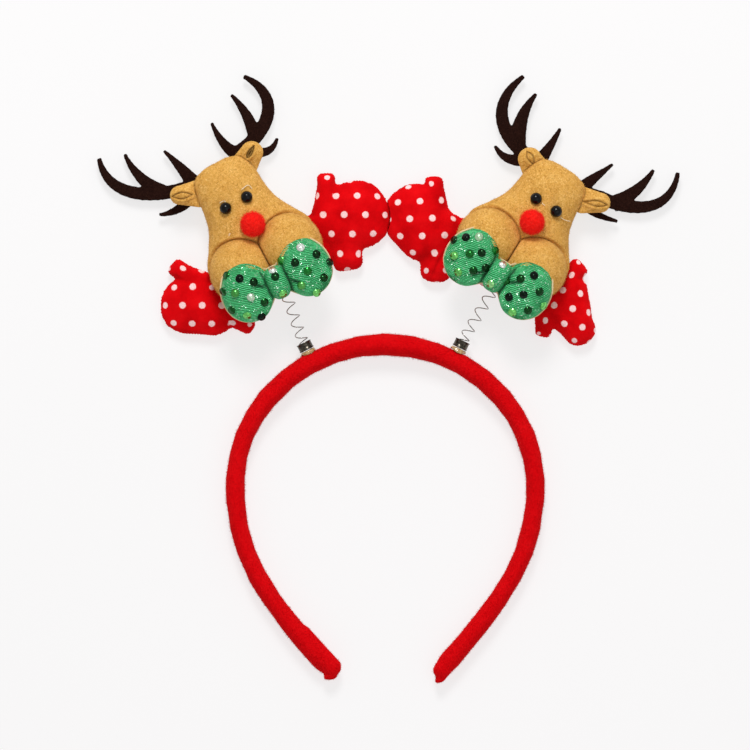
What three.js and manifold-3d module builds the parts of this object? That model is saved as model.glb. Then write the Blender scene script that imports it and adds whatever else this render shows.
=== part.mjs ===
// Christmas headband: a felt-covered hoop that carries two stuffed reindeer heads on coil springs.
// Millimetres, +Z up. The headband lies on its back, with the hoop flat and both faces looking up.
// Inside the hoop's own frame the origin is the middle of its widest line, at the resting surface.
// A head's own frame has u to the right of the face, v towards its crown and w out of the face,
// with its origin between the eyes, on the flat back of the head.

import * as THREE from "three";
import { mergeVertices } from "three/addons/utils/BufferGeometryUtils.js";
import Module from "manifold-3d";

const wasm = await Module();
wasm.setup();

// Clearance that every piece keeps to its neighbours.
const GAP = 0.3;
// A size that reaches past everything, for blocks that cut a piece off.
const REACH = 200;
// Facets of the rounded forms, round their axis and from pole to pole.
const FACETS = {
  tab: [8, 5],
  cheek: [12, 8],
  bead: [10, 7],
  pompom: [10, 6],
  ear: [12, 6],
  pocket: [6, 4],
  bow: [11, 6],
  knot: [10, 7],
  cloth: [12, 6],
  socket: 14,
};

// The hoop's middle line, as arcs from the top down one side. Turn is in degrees.
const HOOP_ARCS = [
  { stretch: "crown", radius: 65.5, turn: 45 },
  { stretch: "shoulder", radius: 57.7, turn: 45 },
  { stretch: "side", radius: 80, turn: 36 },
  { stretch: "leg", radius: 340, turn: 6.6 },
];
// The padded band's section at shares of the half length: thickness seen from the front, and width.
const BAND_SECTIONS = [
  { along: 0, thick: 9.2, wide: 11 },
  { along: 0.3, thick: 8.4, wide: 10.6 },
  { along: 0.55, thick: 7.8, wide: 10 },
  { along: 0.85, thick: 8, wide: 9.2 },
  { along: 0.97, thick: 8.6, wide: 9 },
  { along: 0.99, thick: 7.4, wide: 7.6 },
  { along: 1, thick: 4.2, wide: 5 },
];
const BAND_RINGS = 36;
const BAND_SIDES = 12;
// The covering is pinched shut at each end, in a small tab.
const END_TAB = { reach: 1.8, half: 2.1, deep: 1.5 };

// Where each head sits, from the middle of the hoop's widest line, and what differs between the two.
// Length is the head's share of its full length, places on the face are in the head's frame, turns are
// in degrees, and the spring's foot is measured from the top of the hoop.
const HEADS = [
  {
    name: "left", outward: -1, x: -62.4, y: 119.2, tilt: 28, length: 1, footTurn: 27.5, chinU: 0.7,
    eyeShift: 0, noseU: 2, noseV: -11, bowU: -0.4, bowV: -37, bowTurn: -4,
  },
  {
    name: "right", outward: 1, x: 66.2, y: 118.9, tilt: -32, length: 0.93, footTurn: 26, chinU: 1.5,
    eyeShift: 1.3, noseU: 0, noseV: -9.6, bowU: -0.4, bowV: -35.6, bowTurn: 0,
  },
];
// Height of the heads' flat backs over the resting surface, and of the seam round them over the back.
const BACK_HEIGHT = 5.3;
const HEAD_SEAM = 4.5;

// The stuffed head, from chin to crown: half width, and how far the face stands out from the seam.
const HEAD_SECTIONS = [
  { along: -42.5, half: 5, front: 2 },
  { along: -41.5, half: 10.5, front: 3.5 },
  { along: -38.5, half: 17, front: 5.5 },
  { along: -33, half: 22.5, front: 8 },
  { along: -26, half: 25.2, front: 9.6 },
  { along: -19, half: 24.4, front: 10.2 },
  { along: -12, half: 20.4, front: 10.4 },
  { along: -5, half: 16.7, front: 10.2 },
  { along: 3, half: 14.8, front: 9.6 },
  { along: 10, half: 14.1, front: 8.4 },
  { along: 15, half: 12.8, front: 6.4 },
  { along: 18, half: 10, front: 4 },
  { along: 19.5, half: 5.5, front: 1.6 },
];
const HEAD_RINGS = 18;
const HEAD_SIDES = 14;
const HEAD_BACK_SHARE = 0.62;

// Two round cheeks make the muzzle, and meet in a cleft.
const CHEEK = { u: 11, v: -26.6, w: 9, semi: [14.3, 14.6, 14] };
const EYE = { apart: 10, diameter: 5, proud: 0.9 };
const NOSE = { core: 8.8, locks: 14, lockLength: 1.1, lockWidth: 3.4, height: 18.4 };

// The ears are folded leaves, drawn for the right side of the face: root, tip, and half width at each.
const EAR_SEAM = 5.6;
const EAR_FRONT = 3.4;
const EAR_BACK = 2.8;
const EARS = [
  { head: "left", side: "outer", from: [12.5, 11.2], to: [19.6, 14.2], rootHalf: 5.8, tipHalf: 4 },
  { head: "left", side: "inner", from: [11, 13], to: [15.6, 15.8], rootHalf: 5.6, tipHalf: 4.8 },
  { head: "right", side: "inner", from: [10.6, 10.8], to: [14.6, 13], rootHalf: 5.8, tipHalf: 5 },
  { head: "right", side: "outer", from: [13.4, 10.2], to: [20.2, 13.2], rootHalf: 5.6, tipHalf: 4.2 },
];
// The pocket in an ear, as shares of its length and half width, and how deep it goes.
const EAR_POCKET = { start: 0.3, end: 1.1, half: 0.3, deep: 2.6 };

// The felt antlers' tines, drawn for the right side. Each is a curve from its root to its tip that leans
// and bends towards two points, and is as wide at its root, middle and tip as the last column says.
const ANTLER_THICK = 2;
const ANTLER_TINES = [
  {
    side: "outer", tine: "beam", root: [8, 16], lean: [30, 18],
    bend: [46, 22.5], tip: [42.3, 43.2], wide: [5, 4.8, 1.6],
  },
  {
    side: "outer", tine: "middle", root: [20.5, 17.8], lean: [28.5, 22],
    bend: [33, 29], tip: [32, 40.2], wide: [5.4, 5.4, 1.4],
  },
  {
    side: "outer", tine: "first", root: [11.5, 14.5], lean: [12.6, 20],
    bend: [14.3, 26], tip: [16.6, 33.8], wide: [8, 3.6, 1.2],
  },
  {
    side: "outer", tine: "brow", root: [5.5, 11.5], lean: [17, 8.5],
    bend: [24, 8.2], tip: [30.4, 11.3], wide: [5, 2.8, 1],
  },
  {
    side: "inner", tine: "beam", root: [7, 13.5], lean: [28, 15.5],
    bend: [42.5, 21], tip: [35.6, 41], wide: [5, 4.8, 1.6],
  },
  {
    side: "inner", tine: "middle", root: [19.5, 16.5], lean: [26, 21],
    bend: [27.6, 28], tip: [27.1, 37.4], wide: [5.6, 5.6, 1.3],
  },
  {
    side: "inner", tine: "first", root: [10, 12.5], lean: [10.4, 19],
    bend: [10.6, 25], tip: [10.5, 30.8], wide: [8, 3.2, 1.1],
  },
  {
    side: "inner", tine: "brow", root: [14, 14], lean: [17, 8],
    bend: [24, 6.8], tip: [29.5, 10.3], wide: [5, 3, 1],
  },
];
const TINE_STEPS = 6;
// How each cut antler is glued on: its turn in degrees, shift, spread across, and lift of the brow tine.
const ANTLERS = [
  { head: "left", side: "outer", turn: 0, shiftU: 0, shiftV: 0, spread: 1, browLift: 0 },
  { head: "left", side: "inner", turn: 8, shiftU: -2.8, shiftV: 2.5, spread: 0.99, browLift: 1 },
  { head: "right", side: "inner", turn: 0, shiftU: 0, shiftV: 0, spread: 1, browLift: 0 },
  { head: "right", side: "outer", turn: 1.4, shiftU: -1.1, shiftV: -3.6, spread: 1.04, browLift: 2.4 },
];
const ANTLER_PIVOT = [12, 14];

// The sequinned bow: a lobe on each side, the waist between them, and the knot round the waist.
const BOW = { w: 17.6, lean: 18, lobeU: 12.8, lobeSemi: [11.2, 12.2, 5.6], waistSemi: [9, 8, 4] };
const KNOT = { w: 20.4, semi: [5.3, 8.2, 5] };

// The dotted bow behind the chin: on each side a waist, a lobe, and a tail above and below it.
// Every pad runs from its root to its tip, with the half width at each, in the head's frame.
const DOTTED_SEAM = -1.7;
const DOTTED_BACK = 4.6;
const DOTTED_FRONT = { waist: 1.2, lobe: 5.2, upper_tail: 3.6, lower_tail: 3.6 };
const DOTTED_PADS = [
  { head: "left", pad: "waist", from: [-24, -31], to: [26, -29], rootHalf: 11, tipHalf: 11 },
  { head: "left", pad: "lobe", from: [-31, -32.6], to: [-36.4, -29], rootHalf: 12.4, tipHalf: 12 },
  { head: "left", pad: "upper_tail", from: [-30, -25], to: [-35.8, -12.4], rootHalf: 8, tipHalf: 3.1 },
  { head: "left", pad: "lower_tail", from: [-26, -35], to: [-20.6, -46.8], rootHalf: 8, tipHalf: 3.5 },
  { head: "left", pad: "lobe", from: [40, -28], to: [42, -28], rootHalf: 14.5, tipHalf: 14.5 },
  { head: "left", pad: "upper_tail", from: [33, -23], to: [38.4, -10], rootHalf: 8.5, tipHalf: 3 },
  { head: "left", pad: "lower_tail", from: [29, -34], to: [32.3, -46.4], rootHalf: 9, tipHalf: 3.4 },
  { head: "right", pad: "waist", from: [-26, -33], to: [24, -31], rootHalf: 11, tipHalf: 10 },
  { head: "right", pad: "lobe", from: [-36.7, -35], to: [-42.7, -33], rootHalf: 13.5, tipHalf: 13.7 },
  { head: "right", pad: "upper_tail", from: [-34.7, -31], to: [-43.9, -17.7], rootHalf: 8.5, tipHalf: 3.4 },
  { head: "right", pad: "lower_tail", from: [-26.2, -39], to: [-24.7, -50.4], rootHalf: 9, tipHalf: 3.6 },
  { head: "right", pad: "lobe", from: [29.3, -30], to: [39.8, -36.8], rootHalf: 12.5, tipHalf: 6.8 },
  { head: "right", pad: "upper_tail", from: [25.3, -27], to: [26.8, -15.6], rootHalf: 7, tipHalf: 3.6 },
  { head: "right", pad: "lower_tail", from: [25.8, -34], to: [28.3, -44.4], rootHalf: 8, tipHalf: 3.7 },
];
// The two dotted bows press against each other here.
const BOWS_MEET_X = 1.6;

// The coil spring, the cup that holds its foot on the band, and the glue under the cup.
const SPRING = { coil: 4.6, wire: 0.5, pitch: 4.9, inChin: 4, chinW: 5, wireSides: 6, stepsPerTurn: 7 };
const CUP = { outer: 6.5, inner: 5.8, height: 3.4, floor: 0.8, sides: 14 };
const GLUE = { diameter: 8.2, thick: 0.7, skirt: 2.2, sides: 12 };

const FINISHES = {
  red_felt: { color: 0xc4101c, roughness: 0.95, metalness: 0 },
  tan_fleece: { color: 0xc8923f, roughness: 1, metalness: 0 },
  brown_felt: { color: 0x1f0f0c, roughness: 1, metalness: 0 },
  black_bead: { color: 0x080808, roughness: 0.15, metalness: 0 },
  red_pompom: { color: 0xd91e24, roughness: 1, metalness: 0 },
  green_sequin: { color: 0x1f9058, roughness: 0.45, metalness: 0.3 },
  dotted_cloth: { color: 0xd0101a, roughness: 0.9, metalness: 0 },
  steel_wire: { color: 0x9a9a98, roughness: 0.3, metalness: 1 },
  dark_nickel: { color: 0x35322e, roughness: 0.35, metalness: 1 },
  amber_glue: { color: 0xc9a568, roughness: 0.35, metalness: 0 },
};
const materials = {};
for (const [name, finish] of Object.entries(FINISHES)) {
  materials[name] = new THREE.MeshStandardMaterial(finish);
}

// A closed three.js geometry as a solid that can be joined and cut.
function solidOf(geometry) {
  const bare = geometry.clone();
  bare.deleteAttribute("normal");
  bare.deleteAttribute("uv");
  const merged = mergeVertices(bare, 1e-4);
  return new wasm.Manifold(
    new wasm.Mesh({
      numProp: 3,
      vertProperties: merged.attributes.position.array,
      triVerts: new Uint32Array(merged.index.array),
    }),
  );
}

// A named mesh of a solid.
function meshOf(name, solid, finish) {
  const made = solid.getMesh();
  const geometry = new THREE.BufferGeometry();
  geometry.setAttribute("position", new THREE.BufferAttribute(made.vertProperties, 3));
  geometry.setIndex(new THREE.BufferAttribute(made.triVerts, 1));
  geometry.computeVertexNormals();
  const mesh = new THREE.Mesh(geometry, materials[finish]);
  mesh.name = name;
  return mesh;
}

// A skin through rings of equal length, closed at both ends by a fan.
function loft(rings) {
  const sides = rings[0].length;
  const points = rings.flat();
  const index = [];
  for (let r = 0; r + 1 < rings.length; r += 1) {
    for (let k = 0; k < sides; k += 1) {
      const a = r * sides + k;
      const b = r * sides + ((k + 1) % sides);
      index.push(a, b, b + sides, a, b + sides, a + sides);
    }
  }
  for (const [ring, first, flip] of [[rings[0], 0, true], [rings.at(-1), points.length - sides, false]]) {
    const centre = new THREE.Vector3();
    ring.forEach((p) => centre.addScaledVector(p, 1 / sides));
    const hub = points.push(centre) - 1;
    for (let k = 0; k < sides; k += 1) {
      const a = first + k;
      const b = first + ((k + 1) % sides);
      index.push(hub, flip ? b : a, flip ? a : b);
    }
  }
  const geometry = new THREE.BufferGeometry().setFromPoints(points);
  geometry.setIndex(index);
  return geometry;
}

// A smooth value between the rows of a table: the named column at a place along it.
function between(rows, column, along) {
  const last = rows.length - 2;
  const i = Math.min(last, Math.max(0, rows.findIndex((row) => row.along >= along) - 1));
  const [a, b] = [rows[i], rows[i + 1]];
  const before = rows[i - 1] ?? a;
  const after = rows[i + 2] ?? b;
  const span = b.along - a.along;
  const t = Math.min(1, Math.max(0, (along - a.along) / span));
  const slopeA = ((b[column] - before[column]) / (b.along - before.along)) * span;
  const slopeB = ((after[column] - a[column]) / (after.along - a.along)) * span;
  const t2 = t * t;
  const t3 = t2 * t;
  return (
    (2 * t3 - 3 * t2 + 1) * a[column] + (t3 - 2 * t2 + t) * slopeA +
    (3 * t2 - 2 * t3) * b[column] + (t3 - t2) * slopeB
  );
}

// Places along a table's rows: each row's own, and more in between where the rows lie far apart.
function stations(rows, count) {
  const spread = (rows.at(-1).along - rows[0].along) / count;
  const places = [];
  for (let i = 0; i + 1 < rows.length; i += 1) {
    const span = rows[i + 1].along - rows[i].along;
    const parts = Math.max(1, Math.round(span / spread));
    for (let k = 0; k < parts; k += 1) places.push(rows[i].along + (span * k) / parts);
  }
  places.push(rows.at(-1).along);
  return places;
}

// An ellipsoid with its middle at a place.
function ellipsoid(at, semi, facets) {
  const geometry = new THREE.SphereGeometry(1, ...facets);
  geometry.scale(...semi);
  return geometry.translate(...at);
}

// A flat stuffed pad with round ends, tapered from one end to the other. Its seam lies at height w.
function pad({ from, to, rootHalf, tipHalf, w, front, back }, facets) {
  const geometry = new THREE.SphereGeometry(1, ...facets);
  geometry.rotateX(Math.PI / 2);
  const root = new THREE.Vector2(...from);
  const tip = new THREE.Vector2(...to);
  const along = tip.clone().sub(root).normalize();
  const across = new THREE.Vector2(-along.y, along.x);
  const position = geometry.attributes.position;
  for (let i = 0; i < position.count; i += 1) {
    const [x, y, z] = [position.getX(i), position.getY(i), position.getZ(i)];
    const half = x > 1e-6 ? tipHalf : rootHalf;
    const place = (x > 1e-6 ? tip : root).clone();
    place.addScaledVector(along, x * half).addScaledVector(across, y * half);
    position.setXYZ(i, place.x, place.y, w + z * (z > 0 ? front : back));
  }
  return geometry;
}

// The hoop

// The hoop's middle line at a signed length from its top: the place, and the way out of the hoop.
const hoopTop = HOOP_ARCS.slice(0, 2).reduce(
  (sum, arc, i) => {
    const start = THREE.MathUtils.degToRad(i === 0 ? 0 : HOOP_ARCS[0].turn);
    const end = start + THREE.MathUtils.degToRad(arc.turn);
    return sum + arc.radius * (Math.cos(start) - Math.cos(end));
  },
  0,
);
const arcLength = (arc) => arc.radius * THREE.MathUtils.degToRad(arc.turn);
const HALF_HOOP = HOOP_ARCS.reduce((sum, arc) => sum + arcLength(arc), 0);

function hoopAt(length) {
  const side = Math.sign(length) || 1;
  let left = Math.abs(length);
  let [x, y, heading] = [0, hoopTop, 0];
  for (const arc of HOOP_ARCS) {
    const run = Math.min(left, arcLength(arc));
    const turned = heading + run / arc.radius;
    x += arc.radius * (Math.sin(turned) - Math.sin(heading));
    y -= arc.radius * (Math.cos(heading) - Math.cos(turned));
    heading = turned;
    left -= run;
  }
  return {
    place: new THREE.Vector3(side * x, y, 0),
    out: new THREE.Vector3(side * Math.sin(heading), Math.cos(heading), 0),
    onward: new THREE.Vector3(side * Math.cos(heading), -Math.sin(heading), 0),
  };
}

// One ring of the band's skin. Its lowest facet lies on the resting surface.
function bandRing(length, grow) {
  const share = Math.abs(length) / HALF_HOOP;
  const halfThick = between(BAND_SECTIONS, "thick", share) / 2 + grow;
  const halfWide = between(BAND_SECTIONS, "wide", share) / 2;
  const { place, out } = hoopAt(length);
  const flatAt = Math.cos(Math.PI / BAND_SIDES);
  const ring = [];
  for (let k = 0; k < BAND_SIDES; k += 1) {
    const angle = ((k + 0.5) / BAND_SIDES) * 2 * Math.PI;
    const height = halfWide + ((halfWide + grow) * Math.sin(angle)) / flatAt;
    ring.push(place.clone().addScaledVector(out, halfThick * Math.cos(angle)).setZ(height));
  }
  return ring;
}

function bandSolid(grow = 0) {
  const half = stations(BAND_SECTIONS, BAND_RINGS / 2);
  const shares = [...half.slice(1).reverse().map((share) => -share), ...half];
  const skin = solidOf(loft(shares.map((share) => bandRing(share * HALF_HOOP, grow))));
  const middle = BAND_SECTIONS.at(-1).wide / 2;
  return [-1, 1].reduce((band, side) => {
    const { place, onward } = hoopAt(side * HALF_HOOP);
    const tip = place.clone().addScaledVector(onward, END_TAB.reach - END_TAB.half);
    const tab = pad({
      from: [place.x, place.y], to: [tip.x, tip.y], rootHalf: END_TAB.half, tipHalf: END_TAB.half,
      w: middle, front: END_TAB.deep, back: END_TAB.deep,
    }, FACETS.tab);
    return band.add(solidOf(tab));
  }, skin);
}

// The heads

function headSolid(head, grow = 0) {
  const rings = stations(HEAD_SECTIONS, HEAD_RINGS).map((along, i, all) => {
    const half = between(HEAD_SECTIONS, "half", along) + grow;
    const front = between(HEAD_SECTIONS, "front", along) + grow;
    const end = i === 0 ? -grow : i === all.length - 1 ? grow : 0;
    const ring = [];
    for (let k = 0; k < HEAD_SIDES; k += 1) {
      const angle = (k / HEAD_SIDES) * 2 * Math.PI;
      const rise = Math.sin(angle) * (Math.sin(angle) > 0 ? front : front * HEAD_BACK_SHARE);
      const v = along * head.length + end;
      ring.push(new THREE.Vector3(half * Math.cos(angle), v, Math.max(-grow, HEAD_SEAM + rise)));
    }
    return ring.reverse();
  });
  return solidOf(loft(rings));
}

// How high the face stands at a place on it.
function faceHeight(u, v) {
  const half = between(HEAD_SECTIONS, "half", v);
  const front = between(HEAD_SECTIONS, "front", v);
  return HEAD_SEAM + front * Math.sqrt(1 - (u / half) ** 2);
}

function muzzleSolid(head, grow = 0) {
  const [across, up, out] = CHEEK.semi;
  const semi = [across, up * head.length, out].map((s) => s + grow);
  const v = CHEEK.v * head.length;
  const cheek = (side) => solidOf(ellipsoid([side * CHEEK.u, v, CHEEK.w], semi, FACETS.cheek));
  const behind = new THREE.BoxGeometry(REACH, REACH, REACH);
  behind.translate(0, 0, HEAD_SEAM - grow - REACH / 2);
  return cheek(-1).add(cheek(1)).subtract(solidOf(behind));
}

function eyePlace(head, side) {
  const u = head.eyeShift + (side * EYE.apart) / 2;
  return [u, 0, faceHeight(u, 0) + EYE.proud];
}

const bead = (at, grow = 0) => {
  const radius = EYE.diameter / 2 + grow;
  return solidOf(ellipsoid(at, [radius, radius, radius], FACETS.bead));
};

// A pompom: a round core with short locks all over it, evenly spread.
function pompomSolid(at) {
  const core = NOSE.core / 2;
  const golden = Math.PI * (3 - Math.sqrt(5));
  let solid = solidOf(ellipsoid([0, 0, 0], [core, core, core], FACETS.pompom));
  for (let k = 0; k < NOSE.locks; k += 1) {
    const z = 1 - (2 * (k + 0.5)) / NOSE.locks;
    const ring = Math.sqrt(1 - z * z);
    const way = new THREE.Vector3(ring * Math.cos(k * golden), ring * Math.sin(k * golden), z);
    const height = NOSE.lockLength * 2;
    const lock = new THREE.ConeGeometry(NOSE.lockWidth / 2, height, 4);
    lock.translate(0, core - NOSE.lockLength + height / 2, 0);
    lock.applyQuaternion(new THREE.Quaternion().setFromUnitVectors(new THREE.Vector3(0, 1, 0), way));
    solid = solid.add(solidOf(lock));
  }
  return solid.translate(at);
}

// Which side of a head's face a word means.
const signOf = (head, side) => (side === "outer" ? head.outward : -head.outward);

function earSolid(head, { side, from, to, rootHalf, tipHalf }) {
  const sign = signOf(head, side);
  const root = new THREE.Vector2(sign * from[0], from[1]);
  const tip = new THREE.Vector2(sign * to[0], to[1]);
  const leaf = pad({
    from: root.toArray(), to: tip.toArray(), rootHalf, tipHalf,
    w: EAR_SEAM, front: EAR_FRONT, back: EAR_BACK,
  }, FACETS.ear);
  const half = tipHalf * EAR_POCKET.half;
  const pocket = pad({
    from: root.clone().lerp(tip, EAR_POCKET.start).toArray(),
    to: root.clone().lerp(tip, EAR_POCKET.end).toArray(),
    rootHalf: half, tipHalf: half,
    w: EAR_SEAM + EAR_FRONT, front: EAR_POCKET.deep, back: EAR_POCKET.deep,
  }, FACETS.pocket);
  return solidOf(leaf).subtract(solidOf(pocket));
}

// A tine as a flat shape: a curve from a round root to a round tip, with a width that changes along it.
function tineShape({ root, lean, bend, tip, wide }, warp) {
  const [rootWide, midWide, tipWide] = wide;
  const line = new THREE.CubicBezierCurve(...[root, lean, bend, tip].map((p) => new THREE.Vector2(...p)));
  const [near, far] = [[], []];
  for (let i = 0; i <= TINE_STEPS; i += 1) {
    const t = i / TINE_STEPS;
    const across = rootWide * (2 * t - 1) * (t - 1) + midWide * 4 * t * (1 - t) + tipWide * t * (2 * t - 1);
    const place = line.getPoint(t);
    const tangent = line.getTangent(t);
    const normal = new THREE.Vector2(-tangent.y, tangent.x);
    near.push(warp(place.clone().addScaledVector(normal, across / 2)));
    far.push(warp(place.clone().addScaledVector(normal, -across / 2)));
  }
  const end = warp(line.getPoint(1).addScaledVector(line.getTangent(1), tipWide / 2));
  const start = warp(line.getPoint(0).addScaledVector(line.getTangent(0), -rootWide / 2));
  return new THREE.Shape([...near, end, ...far.reverse(), start]);
}

function antlerSolid(head, { side, turn, shiftU, shiftV, spread, browLift }) {
  const sign = signOf(head, side);
  const pivot = new THREE.Vector2(...ANTLER_PIVOT);
  const shift = new THREE.Vector2(shiftU, shiftV);
  const warp = (p) => {
    const q = p.clone();
    q.x = pivot.x + (q.x - pivot.x) * spread;
    q.rotateAround(pivot, THREE.MathUtils.degToRad(turn)).add(shift);
    return new THREE.Vector2(sign * q.x, q.y);
  };
  return ANTLER_TINES.filter((row) => row.side === side).map((row) => {
    const lift = row.tine === "brow" ? browLift : 0;
    const lifted = ([u, v]) => [u, v + lift];
    const shape = tineShape({ ...row, bend: lifted(row.bend), tip: lifted(row.tip) }, warp);
    const flat = new THREE.ExtrudeGeometry(shape, { depth: ANTLER_THICK, bevelEnabled: false });
    return solidOf(flat.translate(0, 0, -GAP - ANTLER_THICK));
  }).reduce((antler, tine) => antler.add(tine));
}

// The bows

// Puts a piece of the sequinned bow, drawn flat round its knot, on the chin.
function onChin(geometry, head) {
  geometry.rotateZ(THREE.MathUtils.degToRad(head.bowTurn));
  geometry.rotateX(THREE.MathUtils.degToRad(BOW.lean));
  return solidOf(geometry.translate(head.bowU, head.bowV, BOW.w));
}

function sequinBowSolid(head, grow = 0) {
  const bigger = (semi) => semi.map((s) => s + grow);
  const stuffed = (u, semi) => onChin(ellipsoid([u, 0, 0], bigger(semi), FACETS.bow), head);
  const waist = stuffed(0, BOW.waistSemi);
  return waist.add(stuffed(-BOW.lobeU, BOW.lobeSemi)).add(stuffed(BOW.lobeU, BOW.lobeSemi));
}

function knotSolid(head) {
  return onChin(ellipsoid([0, 0, KNOT.w - BOW.w], KNOT.semi, FACETS.knot), head);
}

// The dotted bow lies on the resting surface, which flattens its back.
function dottedBowSolid(head) {
  const pads = DOTTED_PADS.filter((row) => row.head === head.name).map((row) => solidOf(pad({
    ...row, w: DOTTED_SEAM, front: DOTTED_FRONT[row.pad], back: DOTTED_BACK,
  }, FACETS.cloth)));
  const under = new THREE.BoxGeometry(REACH, REACH, DOTTED_BACK);
  under.translate(0, 0, -BACK_HEIGHT - DOTTED_BACK / 2);
  return pads.reduce((bow, piece) => bow.add(piece)).subtract(solidOf(under));
}

// The space past the line where the two dotted bows meet, in a head's own frame.
function pastMeeting(head, frame) {
  const far = new THREE.BoxGeometry(REACH, REACH, REACH);
  far.translate(BOWS_MEET_X - head.outward * (REACH / 2 - GAP / 2), head.y, 0);
  return solidOf(far.applyMatrix4(frame.clone().invert()));
}

// The springs

// The foot of a spring on the band: where the band's skin is, and the way out of the hoop.
function footOf(head) {
  const length = head.outward * HOOP_ARCS[0].radius * THREE.MathUtils.degToRad(head.footTurn);
  const share = Math.abs(length) / HALF_HOOP;
  const { place, out } = hoopAt(length);
  const skin = place.addScaledVector(out, between(BAND_SECTIONS, "thick", share) / 2);
  return { skin: skin.setZ(between(BAND_SECTIONS, "wide", share) / 2), out };
}

// Turns a piece drawn upright on +Y to stand on the band, a height above its skin.
function onBand(geometry, { skin, out }, height) {
  geometry.applyQuaternion(new THREE.Quaternion().setFromUnitVectors(new THREE.Vector3(0, 1, 0), out));
  return solidOf(geometry.translate(...skin.clone().addScaledVector(out, height)));
}

const CUP_SEAT = GAP + GLUE.thick + GAP;

function cupSolid(foot) {
  const profile = [
    [0, 0], [CUP.outer / 2, 0], [CUP.outer / 2, CUP.height],
    [CUP.inner / 2, CUP.height], [CUP.inner / 2, CUP.floor], [0, CUP.floor],
  ];
  const points = profile.map((p) => new THREE.Vector2(...p));
  return onBand(new THREE.LatheGeometry(points, CUP.sides), foot, CUP_SEAT);
}

function glueSolid(foot) {
  const height = GLUE.skirt + GAP + GLUE.thick;
  const blob = new THREE.CylinderGeometry(CUP.outer / 2, GLUE.diameter / 2, height, GLUE.sides);
  return onBand(blob, foot, height / 2 - GLUE.skirt).subtract(bandSolid(GAP));
}

// A wire wound round a bent axis.
class CoilCurve extends THREE.Curve {
  constructor(axis, turns) {
    super();
    this.axis = axis;
    this.turns = turns;
  }

  getPoint(t) {
    const tangent = this.axis.getTangent(t);
    const side = new THREE.Vector3().crossVectors(tangent, new THREE.Vector3(0, 0, 1)).normalize();
    const top = new THREE.Vector3().crossVectors(side, tangent);
    const angle = t * this.turns * 2 * Math.PI;
    return this.axis.getPoint(t)
      .addScaledVector(side, (SPRING.coil / 2) * Math.cos(angle))
      .addScaledVector(top, (SPRING.coil / 2) * Math.sin(angle));
  }
}

// Where the spring enters the chin, in the head's frame.
const chinPlace = (head) => {
  const v = HEAD_SECTIONS[0].along * head.length;
  return new THREE.Vector3(head.chinU, v, SPRING.chinW);
};

function chinSocket(head) {
  const radius = (SPRING.coil + SPRING.wire) / 2 + GAP;
  const depth = SPRING.inChin + GAP + SPRING.wire;
  const hole = new THREE.CylinderGeometry(radius, radius, depth * 2, FACETS.socket);
  return solidOf(hole.translate(...chinPlace(head)));
}

function springSolid(head, foot, frame) {
  const floor = CUP_SEAT + CUP.floor + GAP + SPRING.wire / 2;
  const start = foot.skin.clone().addScaledVector(foot.out, floor);
  const mouth = foot.skin.clone().addScaledVector(foot.out, CUP_SEAT + CUP.height * 2);
  const chin = chinPlace(head).applyMatrix4(frame);
  const inside = chinPlace(head).add(new THREE.Vector3(0, SPRING.inChin, 0)).applyMatrix4(frame);
  const below = chin.clone().multiplyScalar(2).sub(inside);
  const axis = new THREE.CubicBezierCurve3(start, mouth, below, inside);
  const turns = axis.getLength() / SPRING.pitch;
  const section = new THREE.Shape().absarc(0, 0, SPRING.wire / 2, 0, 2 * Math.PI);
  return solidOf(new THREE.ExtrudeGeometry(section, {
    extrudePath: new CoilCurve(axis, turns),
    steps: Math.round(turns * SPRING.stepsPerTurn),
    curveSegments: SPRING.wireSides / 2,
    bevelEnabled: false,
  }));
}

// The assembly

function headGroup(head, foot) {
  const group = new THREE.Group();
  group.position.set(head.x, head.y, BACK_HEIGHT);
  group.rotation.z = THREE.MathUtils.degToRad(head.tilt);
  group.updateMatrix();
  const add = (piece, solid, finish) => group.add(meshOf(`${head.name}_${piece}`, solid, finish));

  const sides = [["outer", head.outward], ["inner", -head.outward]];
  const [headRoom, muzzleRoom] = [headSolid(head, GAP), muzzleSolid(head, GAP)];
  const eyes = sides.map(([word, side]) => ({ word, at: eyePlace(head, side) }));

  const dents = eyes.reduce((room, eye) => room.add(bead(eye.at, GAP)), chinSocket(head));
  add("head", headSolid(head).subtract(dents), "tan_fleece");
  add("muzzle", muzzleSolid(head).subtract(headRoom), "tan_fleece");
  for (const eye of eyes) add(`eye_${eye.word}`, bead(eye.at), "black_bead");
  const nose = pompomSolid([head.noseU, head.noseV, NOSE.height]);
  add("nose", nose.subtract(headRoom).subtract(muzzleRoom), "red_pompom");
  const ours = (rows) => rows.filter((row) => row.head === head.name);
  for (const row of ours(EARS)) {
    add(`ear_${row.side}`, earSolid(head, row).subtract(headRoom), "tan_fleece");
  }
  for (const row of ours(ANTLERS)) {
    add(`antler_${row.side}`, antlerSolid(head, row), "brown_felt");
  }
  const bow = sequinBowSolid(head).subtract(muzzleRoom).subtract(headRoom);
  add("sequin_bow", bow, "green_sequin");
  const knot = knotSolid(head).subtract(sequinBowSolid(head, GAP)).subtract(muzzleRoom);
  add("bow_knot", knot, "green_sequin");
  const dotted = dottedBowSolid(head).subtract(headRoom).subtract(pastMeeting(head, group.matrix));
  add("dotted_bow", dotted, "dotted_cloth");
  const standing = new THREE.Group();
  standing.add(group);
  standing.add(meshOf(`${head.name}_spring`, springSolid(head, foot, group.matrix), "steel_wire"));
  standing.add(meshOf(`${head.name}_spring_cup`, cupSolid(foot), "dark_nickel"));
  standing.add(meshOf(`${head.name}_glue`, glueSolid(foot), "amber_glue"));
  return standing;
}

const hoop = new THREE.Group();
hoop.add(meshOf("band", bandSolid(), "red_felt"));
for (const head of HEADS) hoop.add(headGroup(head, footOf(head)));

// The part's origin is under the middle of the whole headband.
const box = new THREE.Box3().setFromObject(hoop, true);
const middle = box.getCenter(new THREE.Vector3());
hoop.position.set(-middle.x, -middle.y, 0);

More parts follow.
